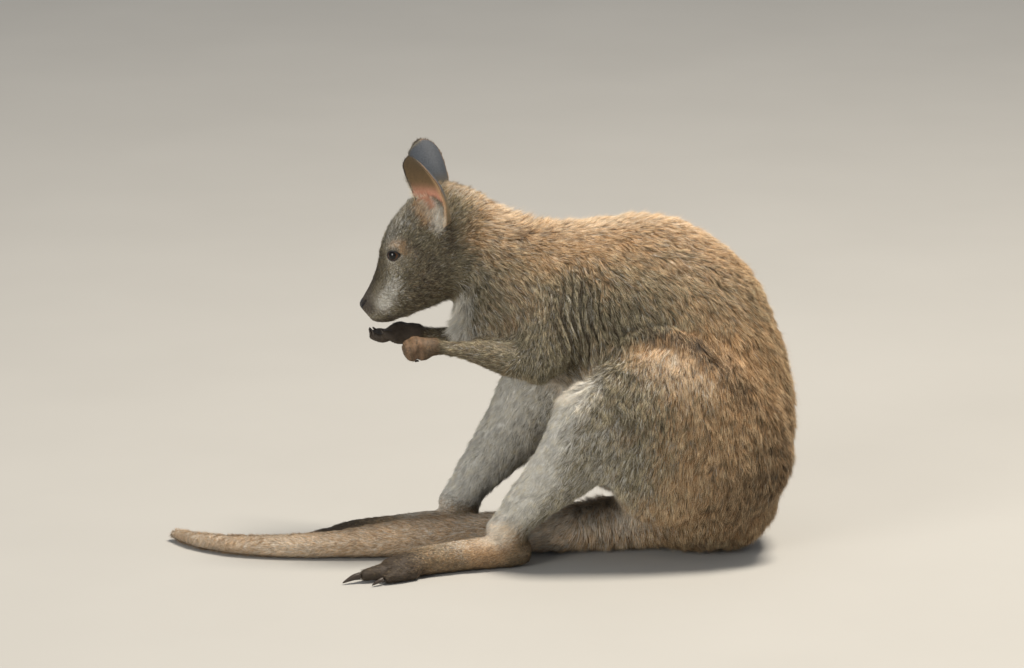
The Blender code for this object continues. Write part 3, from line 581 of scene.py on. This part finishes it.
class Wire:
    """A socket in a material's nodes, so that sums on it are written as sums."""

    def __init__(self, tree, socket=None):
        self.tree = tree
        self.socket = socket

    def node(self, kind, settings=None, inputs=None, output=0):
        """Adds a node, makes its settings and fills its inputs, and returns one of its outputs."""
        made = self.tree.nodes.new("ShaderNode" + kind)
        for name, value in (settings or {}).items():
            setattr(made, name, value)
        for name, value in (inputs or {}).items():
            if isinstance(value, Wire):
                self.tree.links.new(value.socket, made.inputs[name])
            else:
                made.inputs[name].default_value = value
        return Wire(self.tree, made.outputs[output])

    def sum(self, operation, first, second):
        return self.node("Math", {"operation": operation}, {0: first, 1: second})

    def __add__(self, other):
        return self.sum("ADD", self, other)

    def __sub__(self, other):
        return self.sum("SUBTRACT", self, other)

    def __rsub__(self, other):
        return self.sum("SUBTRACT", other, self)

    def __mul__(self, other):
        return self.sum("MULTIPLY", self, other)

    def __truediv__(self, other):
        return self.sum("DIVIDE", self, other)

    __radd__ = __add__
    __rmul__ = __mul__

    def place(self):
        """The place on the piece, in metres."""
        return self.node("TexCoord", output="Object")

    def attribute(self, name, output="Color"):
        """What the mesh keeps under this name, as Color, Alpha or Fac."""
        return self.node("Attribute", {"attribute_name": name}, output=output)

    def fraction(self):
        return self.node("Math", {"operation": "FRACT"}, {0: self})

    def clear(self, low, high):
        """0 below low, 1 above high, with a smooth rise between."""
        settings = {"interpolation_type": "SMOOTHSTEP"}
        return self.node("MapRange", settings, {0: self, 1: low, 2: high})

    def blend(self, under, over):
        """The colour under where this is 0, and the colour over where it is 1."""
        return self.node("Mix", {"data_type": "RGBA"}, {0: self, 6: under, 7: over}, 2)

    def shade(self, name):
        """The named colour, at its darkest where this is 0 and its palest where it is 1."""
        darkest, palest = SHADES[name]
        return self.blend(tone(*darkest), tone(*palest))

    def speckle(self, scale, detail=2.0, roughness=0.5):
        """Noise in this place, from 0 to 1, with this many grains to the metre."""
        inputs = {"Vector": self, "Scale": scale, "Detail": detail, "Roughness": roughness}
        return self.node("TexNoise", {}, inputs)

    def parts(self):
        """The red, green and blue of this colour."""
        return [self.node("SeparateColor", {}, {"Color": self}, channel) for channel in range(3)]

    def into(self, shader, name):
        self.tree.links.new(self.socket, shader.inputs[name])


def tone(red, green, blue):
    """A colour as paint charts give it, each of red, green and blue from 0 to 255."""
    def light(value):
        value /= 255
        return value / 12.92 if value <= 0.04045 else ((value + 0.055) / 1.055) ** 2.4
    return (light(red), light(green), light(blue), 1.0)


def new_finish(label, **settings):
    """A material with its shader, these values set on the shader, and a wire to start from."""
    material = bpy.data.materials.new(label)
    material.use_nodes = True
    tree = material.node_tree
    shader = next(node for node in tree.nodes if node.type == "BSDF_PRINCIPLED")
    for name, value in settings.items():
        shader.inputs[name.replace("_", " ").title().replace("Ior", "IOR")].default_value = value
    return material, shader, Wire(tree)


# Each colour from its darkest to its palest.
SHADES = {
    "grey": ((54, 50, 38), (144, 136, 110)),
    "rufous": ((130, 92, 56), (226, 182, 132)),
    "golden": ((196, 162, 118), (255, 226, 184)),
    "white": ((196, 194, 187), (255, 255, 250)),
    "dark": ((36, 29, 23), (82, 68, 54)),
    "fringe": ((206, 190, 156), (244, 236, 216)),
    "ear skin": ((170, 112, 90), (232, 172, 148)),
    "ear hair": ((78, 60, 38), (146, 118, 80)),
    "ear top": ((56, 46, 30), (104, 86, 56)),
    "ear front": ((52, 40, 26), (92, 72, 48)),
    "ear edge": ((150, 118, 82), (206, 174, 132)),
    "ear back": ((24, 27, 33), (70, 77, 86)),
    "ear back low": ((58, 51, 38), (118, 104, 78)),
    "leather": ((22, 20, 20), (48, 44, 44)),
    "iris": ((52, 32, 17), (104, 66, 36)),
    "whisker": ((30, 25, 22), (96, 84, 70)),
    "horn": ((30, 24, 20), (66, 54, 44)),
    "floor": ((168, 167, 163), (176, 175, 171)),
}


def coat_colours(start, place, along, chance, lock):
    """The colour of the coat: each hair grey-brown or rufous, its band cream, its tip dark."""
    rufous, pale, dark = start.attribute("tint").parts()
    ticked = start.attribute("tint", "Alpha")
    patch = place.speckle(24, 3.0)
    grain = place.speckle(120)

    def throw(turns):
        """From -0.5 to 0.5, drawn for each hair and its lock, and differently for other turns."""
        return ((chance * turns).fraction() + (lock * turns).fraction()) * 0.5 - 0.5

    # A hair has one tint or another by its throw, more often the tint that is stronger there.
    mixed = ticked * 0.65 + 0.35
    rufous = (rufous + (patch - 0.5) * 0.5 + throw(7.3) * 0.8).clear(0.15, 0.85)
    pale = (pale * 1.15 + (throw(13.7) * 1.35 + (grain - 0.5) * 0.3) * mixed).clear(0.32, 0.72)
    dark = (dark * 1.1 + (throw(23.1) * 1.1 + (grain - 0.5) * 0.3) * mixed).clear(0.3, 0.75)
    middle = rufous.blend(chance.shade("grey"), chance.shade("rufous"))
    golden = rufous * (1 - pale * 0.4)
    pale_hair = golden.blend(chance.shade("white"), chance.shade("golden"))
    middle = dark.blend(pale.blend(middle, pale_hair), chance.shade("dark"))
    # Each hair is darker at its root: partly the undercoat's own colour and partly painted shade
    # deep in the coat.
    root = (dark * 0.7 + 0.1).blend(tone(74, 66, 54), tone(28, 23, 20))
    root = (pale * (1 - rufous * 0.6)).blend(root, tone(204, 201, 192))
    hair = along.clear(0.0, 0.45).blend(root, middle)
    band = along.clear(0.4, 0.6) * ticked
    band = band * (chance.clear(0.5, 0.8) * 0.6 + lock.clear(0.5, 0.8) * 0.4)
    cream = rufous.blend(tone(206, 194, 160), tone(242, 214, 174))
    hair = (band * (1 - dark * 0.6)).blend(hair, cream)
    tip = along.clear(0.5, 0.9) * ticked * (1 - pale) * (1 - chance.clear(0.2, 0.45)) * 0.75
    hair = tip.blend(hair, tone(40, 33, 26))
    # Darker locks: their own tone at random, and painted shade in the partings between clumps.
    return (lock.clear(0.0, 0.55) * 0.36 + 0.64).blend(tone(30, 25, 20), hair)


# The ears are pink low in the hollow and brown above, and slate behind.  Their foot and tip, as
# heights above the floor in metres:
EAR_FOOT, EAR_TIP = 0.388, 0.462


def with_skin(start, place, chance, colour):
    """The coat's colour with the ears' colours over it, how much is leather, and how much is dark
    rim and painted shade.
    """
    leather, pink, rim = start.attribute("bare").parts()
    slate = start.attribute("bare", "Alpha")
    rear = start.attribute("tint").parts()[RUFOUS]
    height = place.node("SeparateXYZ", {}, {"Vector": place}, "Z")
    brown = height.clear(EAR_FOOT + 0.028, EAR_FOOT + 0.050)
    inner = brown.blend(chance.shade("ear skin"), chance.shade("ear hair"))
    inner = height.clear(EAR_FOOT + 0.040, EAR_TIP).blend(inner, chance.shade("ear top"))
    front = height.clear(EAR_FOOT + 0.030, EAR_FOOT + 0.052) * (1 - rear) * 0.4
    inner = front.blend(inner, chance.shade("ear front"))
    edge = height.clear(EAR_TIP + 0.006, EAR_TIP - 0.020) * rear * 0.8
    inner = edge.blend(inner, chance.shade("ear edge"))
    low = height.clear(EAR_TIP - 0.022, EAR_TIP - 0.050)
    outer = low.blend(chance.shade("ear back"), chance.shade("ear back low"))
    return pink.blend(slate.blend(colour, outer), inner), leather, rim


hide_finish, shader, start = new_finish("hide")
place = start.place()
fine = place.speckle(700, 3.0)
colour = coat_colours(start, place, fine * 0.3 + 0.1, fine, place.speckle(160))
colour, leather, rim = with_skin(start, place, fine, colour)
# Dark rims of the lids and ears, with painted shade in the nostrils and along the mouth.
colour = (rim * 1.2).clear(0.1, 0.9).blend(colour, tone(26, 20, 18))
colour = leather.blend(colour, place.speckle(400, 3.0).shade("leather"))
colour.into(shader, "Base Color")
(0.72 - leather * 0.4 - rim * 0.2).into(shader, "Roughness")
pebbles = place.node("TexVoronoi", {}, {"Vector": place, "Scale": 900.0})
relief = fine * (1 - leather) + pebbles * leather
bump = start.node("Bump", {}, {"Height": relief, "Strength": 0.5, "Distance": 0.0006})
bump.into(shader, "Normal")
hide.data.materials.append(hide_finish)
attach(hide, "root")
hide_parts(*FLESH)


# ----------------
# The coat.  Locks of tapered hair stand on the hide and lie back over each other, longest on the
# rump and thighs and shortest on the face, ears and paws.  Each hair is a thin roof-shaped blade.
# ----------------
PATCH = 0.003
CLUMP_LOCKS = 9
CLUMP_REACH = 2.1
# How much hairs, locks and clumps lean to either side, and their lengths and heights as shares.
HAIR_LEAN, LOCK_LEAN, CLUMP_LEAN = 0.12, 0.13, 0.19
HAIR_RANGE, LOCK_LENGTHS = (0.75, 1.15), (0.85, 1.12)
LOCK_HEIGHTS, CLUMP_HEIGHTS = (0.8, 1.12), (0.85, 1.15)
GUARD_HAIRS = 0.07
GUARD_LENGTH, GUARD_HEIGHT, GUARD_WIDTH = 1.3, 1.7, 0.6
ROOT_DEPTH = 0.4
ROOF_HEIGHT = 0.7
FLOOR_GAP = 0.4 * MM
FOLD_SHADE = 0.95
FOLD_CALM = 0.75
# Each piece of the coat, its slot, the parts it covers, and its side where it covers only one.
COAT_PIECES = (
    ("coat_head", "fur_head", "head"),
    ("coat_ears", "ear", "ear"),
    ("coat_neck", "fur_grey", "neck upper_arm"),
    ("coat_chest", "fur_grey", "chest"),
    ("coat_loin", "fur_back", "loin"),
    ("coat_rump", "fur_back", "rump"),
    ("coat_thigh_left", "fur_back", "thigh", 1),
    ("coat_thigh_right", "fur_back", "thigh", -1),
    ("coat_shanks", "fur_grey", "shank"),
    ("coat_feet", "fur_dark", "foot"),
    ("coat_arms", "fur_dark", "forearm hand"),
    ("coat_tail", "fur_grey", "tail_root tail_middle tail_tip"),
)

corners = numbers_of(hide.data.polygons, "vertices", 3, np.int32)
outer = np.sign(points[:, 0])
lie = coat_at(kind, LIE)
lie[:, 0] *= outer
face_places = on_face(points)
away = unit(face_places - (0, 37, -66)) @ FACE_AXES
lie = np.where((kind == "head")[:, None], away * 1.2 + (0, 0, -0.15), lie)
for side, sign in SIDES:
    lie[is_ear & (outer == sign)] = EAR_AXES[side]
lie = spread(unit(lie), edges, 60)
in_folds = flank_folds(points)[0][:, None]
lie = lie * (1 - in_folds) + (0.0, 0.1, -1.0) * in_folds
lie = unit(lie - normal * (lie * normal).sum(1)[:, None])
shape = spread(coat_at(kind, SHAPE), edges, 20)
# Hair has its full length away from the eyes and nose, and is thin on the barest skin.
near_eye = step(6, 34, far_from(EYE_SEAT, mirrored(face_places)))
near_nose = step(8, 62, far_from(NOSE_TIP, face_places))
on_head = np.isin(kind, ("head", "nose"))
share = spread(np.where(on_head, np.minimum(near_eye, near_nose), 1.0), edges, 4)
deep, long, wide, thick, lock_size = shape.T
deep = np.where(on_head, 0.5 + (deep - 0.5) * share, deep)
long = long * (0.32 + 0.68 * share)
wide = wide * (0.75 + 0.25 * share)
thick = thick * (1 + 0.5 * (1 - share))
thick *= (1 - np.clip(bare[:, LEATHER] * 1.5, 0, 1)) * (lid_rim < 0.3)
thick *= (1 - 0.9 * nostril.clip(0, 1)) * (1 - 0.9 * mouth)
thick *= 1 - 0.5 * ear_inside * step(0.0, 0.3, 1.05 - ear_up)
thick *= 1 - 0.6 * bare[:, PINK] * (kind == "head")

# The front rim of each ear has a fringe of long pale hair, and the nape and throat are fluffy.
fringe = np.zeros(len(points))
for side, sign in SIDES:
    here = is_ear & (outer == sign)
    axis = unit(EAR_AXES[side])
    offset = points - centre_of(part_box(f"ear_{side}"))
    offset -= (offset @ axis)[:, None] * axis
    front = step(0.004, 0.012, offset @ FACE_AHEAD + offset @ FACE_SIDE * sign * -0.3)
    fringe[here] = (front * step(0.25, 0.7, ear_rim) * (1 - step(0.55, 0.8, ear_up)))[here]
    lie[here] += (unit(offset) * 1.2 * fringe[:, None])[here]
lie = unit(lie)
long *= 1 + 1.1 * fringe
deep += 2.5 * fringe
thick *= 1 + 2.0 * fringe
nape = hump(to_line(face_places, (0, -72, 50), (0, -125, 35)), 38)
throat = 0.8 * hump(to_line(points / MM, (0, -34, 310), (0, -22, 262)), 26)
fluff = np.maximum(nape, throat) * np.isin(kind, ("head", "neck", "chest"))
long *= 1 + 0.5 * fluff
deep *= 1 + 2.3 * fluff
table = np.column_stack((points, normal, lie, deep, long, wide, lock_size, tint, bare, fringe))
TABLE_CUTS = (3, 6, 9, 13, 17, 21)


def rows_at(table, faces, share):
    """The table's rows at places inside these faces, share giving each corner's part."""
    return (table[faces] * share[:, :, None]).sum(1)


def new_object(label, data):
    made = bpy.data.objects.new(label, data)
    bpy.context.collection.objects.link(made)
    return made


def add_numbers(mesh, name, values):
    """Gives each vertex of the mesh one number under this name."""
    layer = mesh.attributes.new(name, "FLOAT", "POINT")
    layer.data.foreach_set("value", values.astype(np.float32))


def patch_map(chosen):
    """A map of this patch of the hide, laid flat: one (u, v) for each corner of its faces."""
    used, index = np.unique(corners[chosen], return_inverse=True)
    mesh = bpy.data.meshes.new("patch")
    mesh.from_pydata(points[used].tolist(), [], index.reshape(-1, 3).tolist())
    patch = new_object("patch", mesh)
    edit(patch, bpy.ops.uv.smart_project, angle_limit=math.radians(66), island_margin=0.002)
    flat = numbers_of(mesh.uv_layers.active.uv, "vector", 2).reshape(-1, 3, 2)
    bpy.data.objects.remove(patch)
    bpy.data.meshes.remove(mesh)
    return flat


def gathered(root, leads):
    """Which hairs lead, and for each hair the number of the leader nearest to its root."""
    leaders = np.flatnonzero(leads)
    tree = KDTree(len(leaders))
    for number, leader in enumerate(leaders):
        tree.insert(root[leader], number)
    tree.balance()
    return leaders, np.array([tree.find(spot)[1] for spot in root])


def grow(label, chosen, dice):
    """Grows hair on the chosen faces of the hide and returns it as one piece."""
    flat = patch_map(chosen)
    faces = corners[chosen]
    edge_a = points[faces[:, 1]] - points[faces[:, 0]]
    edge_b = points[faces[:, 2]] - points[faces[:, 0]]
    size = np.linalg.norm(np.cross(edge_a, edge_b), axis=1) / 2 / MM**2
    total = np.cumsum(size * thick[faces].mean(1))
    count = int(total[-1])
    face = np.searchsorted(total, (np.arange(count) + dice.random(count)) * total[-1] / count)
    face = np.minimum(face, len(faces) - 1)
    share = dice.random((count, 2))
    share = np.where(share.sum(1)[:, None] > 1, 1 - share, share)
    share = np.column_stack((1 - share.sum(1), share))
    spot = (flat[face] * share[:, :, None]).sum(1)
    row = rows_at(table, faces[face], share)
    root, up, back, form, tints, skins, fringes = np.split(row, TABLE_CUTS, 1)
    up = unit(up)
    back = unit(back - up * (back * up).sum(1)[:, None])
    leaning = np.cross(back, up)
    high, length, width, lock = form.T

    # In the folds the hair stands high on the crests, with painted shade in the hollows.
    in_folds, wave = flank_folds(root)
    in_folds = np.minimum(in_folds * 1.35, 1)
    high = high * (1 + 1.6 * in_folds * np.maximum(wave, -0.6))
    fold_hollow_shade = in_folds * (1 - step(-0.7, 0.25, wave)) * FOLD_SHADE
    tints[:, DARK] = np.maximum(tints[:, DARK], fold_hollow_shade)

    # Neighbouring hairs gather into locks, and locks into clumps, that share a lean and a shade.
    crowd = rows_at(thick[:, None], faces[face], share)[:, 0] * lock**2
    leaders, group = gathered(root, dice.random(count) * crowd < 1)
    heads, clump = gathered(root, dice.random(count) * crowd * CLUMP_LOCKS < 1)
    locks, clumps = len(leaders), len(heads)
    yaw = dice.normal(0, LOCK_LEAN, locks)[group] + dice.normal(0, HAIR_LEAN, count)
    yaw += dice.normal(0, CLUMP_LEAN, clumps)[clump]
    yaw *= 1 - FOLD_CALM * in_folds
    outlying = far_from(root[heads][clump], root) / (lock * MM * CLUMP_REACH)
    outlying = np.clip(outlying, 0, 1) ** 2
    stretch = dice.uniform(*LOCK_LENGTHS, locks)[group] * dice.uniform(*HAIR_RANGE, count)
    rise = dice.uniform(*LOCK_HEIGHTS, locks)[group] * dice.uniform(*HAIR_RANGE, count)
    rise *= dice.uniform(*CLUMP_HEIGHTS, clumps)[clump] * (1.12 - 0.5 * outlying)
    lock_tone_and_parting_shade = (dice.random(locks)[group] * 2 + dice.random(clumps)[clump]) / 3
    # Hairs at the edges of a clump are darker: painted shade in the partings between clumps.
    lock_tone_and_parting_shade *= 1 - 0.4 * outlying
    shade = dice.random(count)
    guard = dice.random(count) < GUARD_HAIRS
    stretch = np.where(guard, stretch * GUARD_LENGTH, stretch)
    rise = np.where(guard, rise * GUARD_HEIGHT, rise)
    width = np.where(guard, width * GUARD_WIDTH, width) * MM
    gather = dice.uniform(0.1, 0.5, count)[:, None]
    herd = dice.uniform(0.0, 0.3, count)[:, None]
    ahead = back * np.cos(yaw)[:, None] + leaning * np.sin(yaw)[:, None]
    length = length * stretch * MM
    steep = np.clip(high * MM * rise / length, 0.03, 0.8)
    pull = (root[leaders][group] - root) * gather + (root[heads][clump] - root) * herd

    # The blade: its foot has a left, a ridge and a right point, and all three meet at its tip.
    base = root - up * ROOT_DEPTH * MM
    reach = ahead * np.sqrt(1 - steep**2)[:, None] + up * steep[:, None]
    tip = base + reach * length[:, None] + pull
    heading = unit(tip - base)
    beside = unit(np.cross(heading, up))
    roof = np.cross(beside, heading)
    half = (width / 2)[:, None]
    ridge = base + roof * half * ROOF_HEIGHT
    body = np.stack((base - beside * half, ridge, base + beside * half, tip), 1)
    body[:, :, 2] = np.maximum(body[:, :, 2], FLOOR_GAP)
    facing = np.stack((roof - beside * 0.5, roof, roof + beside * 0.5, roof), 1)
    facing = unit((facing * 0.6 + up[:, None] * 0.7).reshape(-1, 3))
    across, along = np.array(((-1, 0, 1, 0), (0, 0, 0, 1)))
    per = len(along)
    pattern = np.array(((0, 1, 3), (1, 2, 3)))
    triangles = (pattern[None] + np.arange(count)[:, None, None] * per).reshape(-1, 3)
    mesh = bpy.data.meshes.new(label)
    mesh.vertices.add(count * per)
    mesh.loops.add(triangles.size)
    mesh.polygons.add(len(triangles))
    mesh.vertices.foreach_set("co", body.astype(np.float32).ravel())
    mesh.polygons.foreach_set("loop_start", np.arange(0, triangles.size, 3, dtype=np.int32))
    mesh.loops.foreach_set("vertex_index", triangles.astype(np.int32).ravel())
    mesh.update(calc_edges=True)
    mesh.shade_smooth()
    offsets = np.column_stack((across * PATCH / 2, (along - 0.5) * PATCH))
    spots = (spot[:, None] + offsets[None]).reshape(-1, 2)[triangles.ravel()]
    layer = mesh.uv_layers.new(name="OFBake")
    layer.uv.foreach_set("vector", spots.astype(np.float32).ravel())
    add_colours(mesh, "tint", np.repeat(tints, per, 0))
    add_colours(mesh, "bare", np.repeat(skins, per, 0))
    add_numbers(mesh, "fringe", np.repeat(fringes[:, 0], per))
    drawn = np.repeat(np.column_stack((shade, lock_tone_and_parting_shade, guard)), per, 0)
    add_colours(mesh, "hair", np.column_stack((np.tile(along, count), drawn)))
    mesh.normals_split_custom_set_from_vertices(facing.tolist())
    return new_object(label, mesh)


coat_finish, shader, start = new_finish("coat", Roughness=0.6, Specular_Ior_Level=0.25)
place = start.place()
along, shade, lock_tone_and_parting_shade = start.attribute("hair").parts()
colour = coat_colours(start, place, along, shade, lock_tone_and_parting_shade)
colour, leather, rim = with_skin(start, place, shade, colour)
colour = start.attribute("fringe", "Fac").blend(colour, shade.shade("fringe"))
# Dark rims of the lids and ears, with painted shade in the nostrils and along the mouth.
colour = (rim * 1.2).clear(0.2, 1.0).blend(colour, tone(34, 28, 24))
colour.into(shader, "Base Color")
for number, (label, slot_name, kinds, *signs) in enumerate(COAT_PIECES):
    chosen = np.isin(kind[corners[:, 0]], kinds.split())
    if signs:
        chosen &= outer[corners[:, 0]] == signs[0]
    piece = grow(label, chosen, np.random.default_rng(40 + number))
    piece.data.materials.append(coat_finish)
    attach(piece, "root")


# ----------------
# The eyes.  Each is a ball of glass, dark brown round a black pupil, set in the hide behind its
# lids.  The clear front bulges a little over the iris.
# ----------------
EYE_BULGE = 0.5
eye_finish, shader, start = new_finish("eye", Roughness=0.08, Specular_Ior_Level=0.35)
polar = start.attribute("polar", "Fac")
streaks = start.place().speckle(1500, 3.0)
pupil_edge = (polar + (streaks - 0.5) * 0.03).clear(0.33, 0.37)
colour = pupil_edge.blend(tone(6, 5, 5), streaks.shade("iris"))
colour = polar.clear(0.62, 0.72).blend(colour, tone(20, 14, 12))
colour.into(shader, "Base Color")
for side, sign in SIDES:
    outward = gaze(sign)
    bpy.ops.mesh.primitive_uv_sphere_add(segments=48, ring_count=32, radius=EYE_RADIUS * MM)
    ball = bpy.context.object
    ball.name = f"eyeball_{side}"
    shell = numbers_of(ball.data.vertices, "co", 3)
    polar_angle = np.arccos(np.clip(shell[:, 2] / (EYE_RADIUS * MM), -1, 1))
    shell *= (1 + EYE_BULGE / EYE_RADIUS * (1 - step(0.3, 0.75, polar_angle)))[:, None]
    beside = unit(np.cross(outward, FACE_UP))
    turn = np.stack((beside, np.cross(outward, beside), outward))
    set_points(ball.data, shell @ turn + EYE_CENTRES[side])
    ball.data.shade_smooth()
    add_numbers(ball.data, "polar", polar_angle / (math.pi / 2))
    ball.data.materials.clear()
    ball.data.materials.append(eye_finish)
    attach(ball, "root")
    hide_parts(f"eye_{side}")


# ----------------
# The whiskers and lashes.  Stiff dark hairs rooted in the muzzle, over the eyes and on the upper
# lids, each a thin tapered strand of three sides that bends back and down.
# ----------------
WHISKER_HALF = 0.16 * MM
WHISKER_RINGS = 6
# Where each row starts and ends on the face, its hairs, their length, and how far out they turn.
WHISKER_ROWS = (
    ((12, 28, -66), (20, 12, -66), 6, 26, 0.9),
    ((13, 27, -62), (22, 10, -61), 6, 22, 0.9),
    ((27, 6, 14), (30, -2, 16), 3, 15, 0.7),
    ((27, 8, 4.5), (34, -4, 4.5), 9, 4.5, 1.4),
)
hide_tree = BVHTree.FromPolygons(points.tolist(), corners.tolist())
dice = np.random.default_rng(90)
strands, sides = [], []
for first, last, count, length, turn in WHISKER_ROWS:
    for sign in (1, -1):
        for share in np.linspace(0, 1, count):
            spot = np.add(first, np.subtract(last, first) * share) + dice.normal(0, 0.5, 3)
            spot = (spot * (sign, 1, 1) * MM) @ FACE_AXES + FACE_MIDDLE
            root, out = map(np.array, hide_tree.find_nearest(spot)[:2])
            aim = unit(out * turn - FACE_AHEAD * 0.5 + FACE_UP * dice.uniform(-0.3, 0.15))
            droop = -FACE_UP * 0.25 - FACE_AHEAD * 0.3
            beside = unit(np.cross(aim, out + FACE_UP * 0.1))
            around = np.cross(aim, beside)
            reach = length * dice.uniform(0.75, 1.1) * MM
            foot = len(strands)
            for t in np.linspace(0, 1, WHISKER_RINGS).tolist():
                middle = root - out * ROOT_DEPTH * MM + (aim * t + droop * t * t) * reach
                half = WHISKER_HALF * (1 - 0.85 * t) * (0.7 if length < 10 else 1.0)
                for turned in (0, 2 * math.pi / 3, 4 * math.pi / 3):
                    outwards = beside * math.cos(turned) + around * math.sin(turned)
                    strands.append(middle + outwards * half)
            for low in range(foot, len(strands) - 3, 3):
                for a, b in ((low, low + 1), (low + 1, low + 2), (low + 2, low)):
                    sides.append((a, b, b + 3, a + 3))
            end = len(strands) - 3
            sides += [(end, end + 1, end + 2), (foot + 2, foot + 1, foot)]
mesh = bpy.data.meshes.new("whiskers")
mesh.from_pydata(strands, [], sides)
whiskers = new_object("whiskers", mesh)
edit(whiskers, bpy.ops.mesh.normals_make_consistent, inside=False)
mesh.shade_smooth()
whisker_finish, shader, start = new_finish("whisker", Roughness=0.45)
start.place().speckle(600).shade("whisker").into(shader, "Base Color")
mesh.materials.append(whisker_finish)
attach(whiskers, "root")


# ----------------
# The claws.  Dark horn, long and curved on the fingers, broad and straight on the great toes.  They
# are the frame's own, made a little fuller so that smoothing leaves them at their size.
# ----------------
CLAW_FULLNESS = 0.35 * MM
claw_finish, shader, start = new_finish("claw", Roughness=0.35)
ridges = start.place().speckle(500, 3.0)
ridges.shade("horn").into(shader, "Base Color")
(0.3 + ridges * 0.25).into(shader, "Roughness")
bump = start.node("Bump", {}, {"Height": ridges, "Strength": 0.3, "Distance": 0.0003})
bump.into(shader, "Normal")
for group in ("toe", "finger"):
    for side, _ in SIDES:
        names = [name for name in sorted(nodes) if name.startswith("claw") and name.endswith(side)]
        names = [name for name in names if ("finger" in name) == (group == "finger")]
        claws = copy_of(names, f"claws_{group}_{side}")
        edit(claws, bpy.ops.transform.shrink_fatten, value=CLAW_FULLNESS)
        apply_modifier(claws, "SUBSURF", levels=2, render_levels=2)
        claws.data.shade_smooth()
        claws.data.materials.append(claw_finish)
        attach(claws, "root")
        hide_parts(*names)


# ----------------
# The floor, light and camera.  A plain pale floor, a high key lamp behind the wallaby's left side,
# a broad fill in front, and a long lens that sees it from its left.
# ----------------
FLOOR_RADIUS = 14.0
bpy.ops.mesh.primitive_circle_add(vertices=96, radius=FLOOR_RADIUS, fill_type="NGON")
floor = bpy.context.object
floor.name = "studio_floor"
floor_finish, shader, start = new_finish("studio floor", Roughness=0.8)
start.place().speckle(3.0, 4.0).shade("floor").into(shader, "Base Color")
floor.data.materials.append(floor_finish)

world = bpy.data.worlds.new("studio")
bpy.context.scene.world = world
world.use_nodes = True
sky = world.node_tree.nodes["Background"]
sky.inputs["Color"].default_value = tone(226, 230, 236)
sky.inputs["Strength"].default_value = 0.42


def place_lamp(label, location, aim, size, power, colour):
    """A soft square lamp at a place in metres, turned towards its aim."""
    bpy.ops.object.light_add(type="AREA", location=location)
    lamp = bpy.context.object
    lamp.name = label
    lamp.data.size = size
    lamp.data.energy = power
    lamp.data.color = colour[:3]
    direction = Vector(aim) - Vector(location)
    lamp.rotation_euler = direction.to_track_quat("-Z", "Y").to_euler()


place_lamp("key", (0.5, 1.5, 4.6), (0, 0.1, 0.25), 1.1, 350, tone(255, 244, 228))
place_lamp("fill", (3.6, -3.8, 1.7), (0, 0.05, 0.2), 2.0, 140, tone(255, 251, 244))

CAMERA_TURN, CAMERA_RISE = math.radians(84.0), math.radians(13.5)
CAMERA_DISTANCE = 6.0
CAMERA_AIM = Vector((0.0, 0.030, 0.255))
back = Vector((
    math.sin(CAMERA_TURN) * math.cos(CAMERA_RISE),
    -math.cos(CAMERA_TURN) * math.cos(CAMERA_RISE),
    math.sin(CAMERA_RISE),
))
camera = new_object("camera", bpy.data.cameras.new("camera"))
camera.location = CAMERA_AIM + back * CAMERA_DISTANCE
camera.rotation_euler = (-back).to_track_quat("-Z", "Y").to_euler()
camera.data.lens = 187
camera.data.sensor_width = 36
camera.data.clip_end = 60
bpy.context.scene.camera = camera
bpy.context.scene.view_settings.view_transform = "Standard"
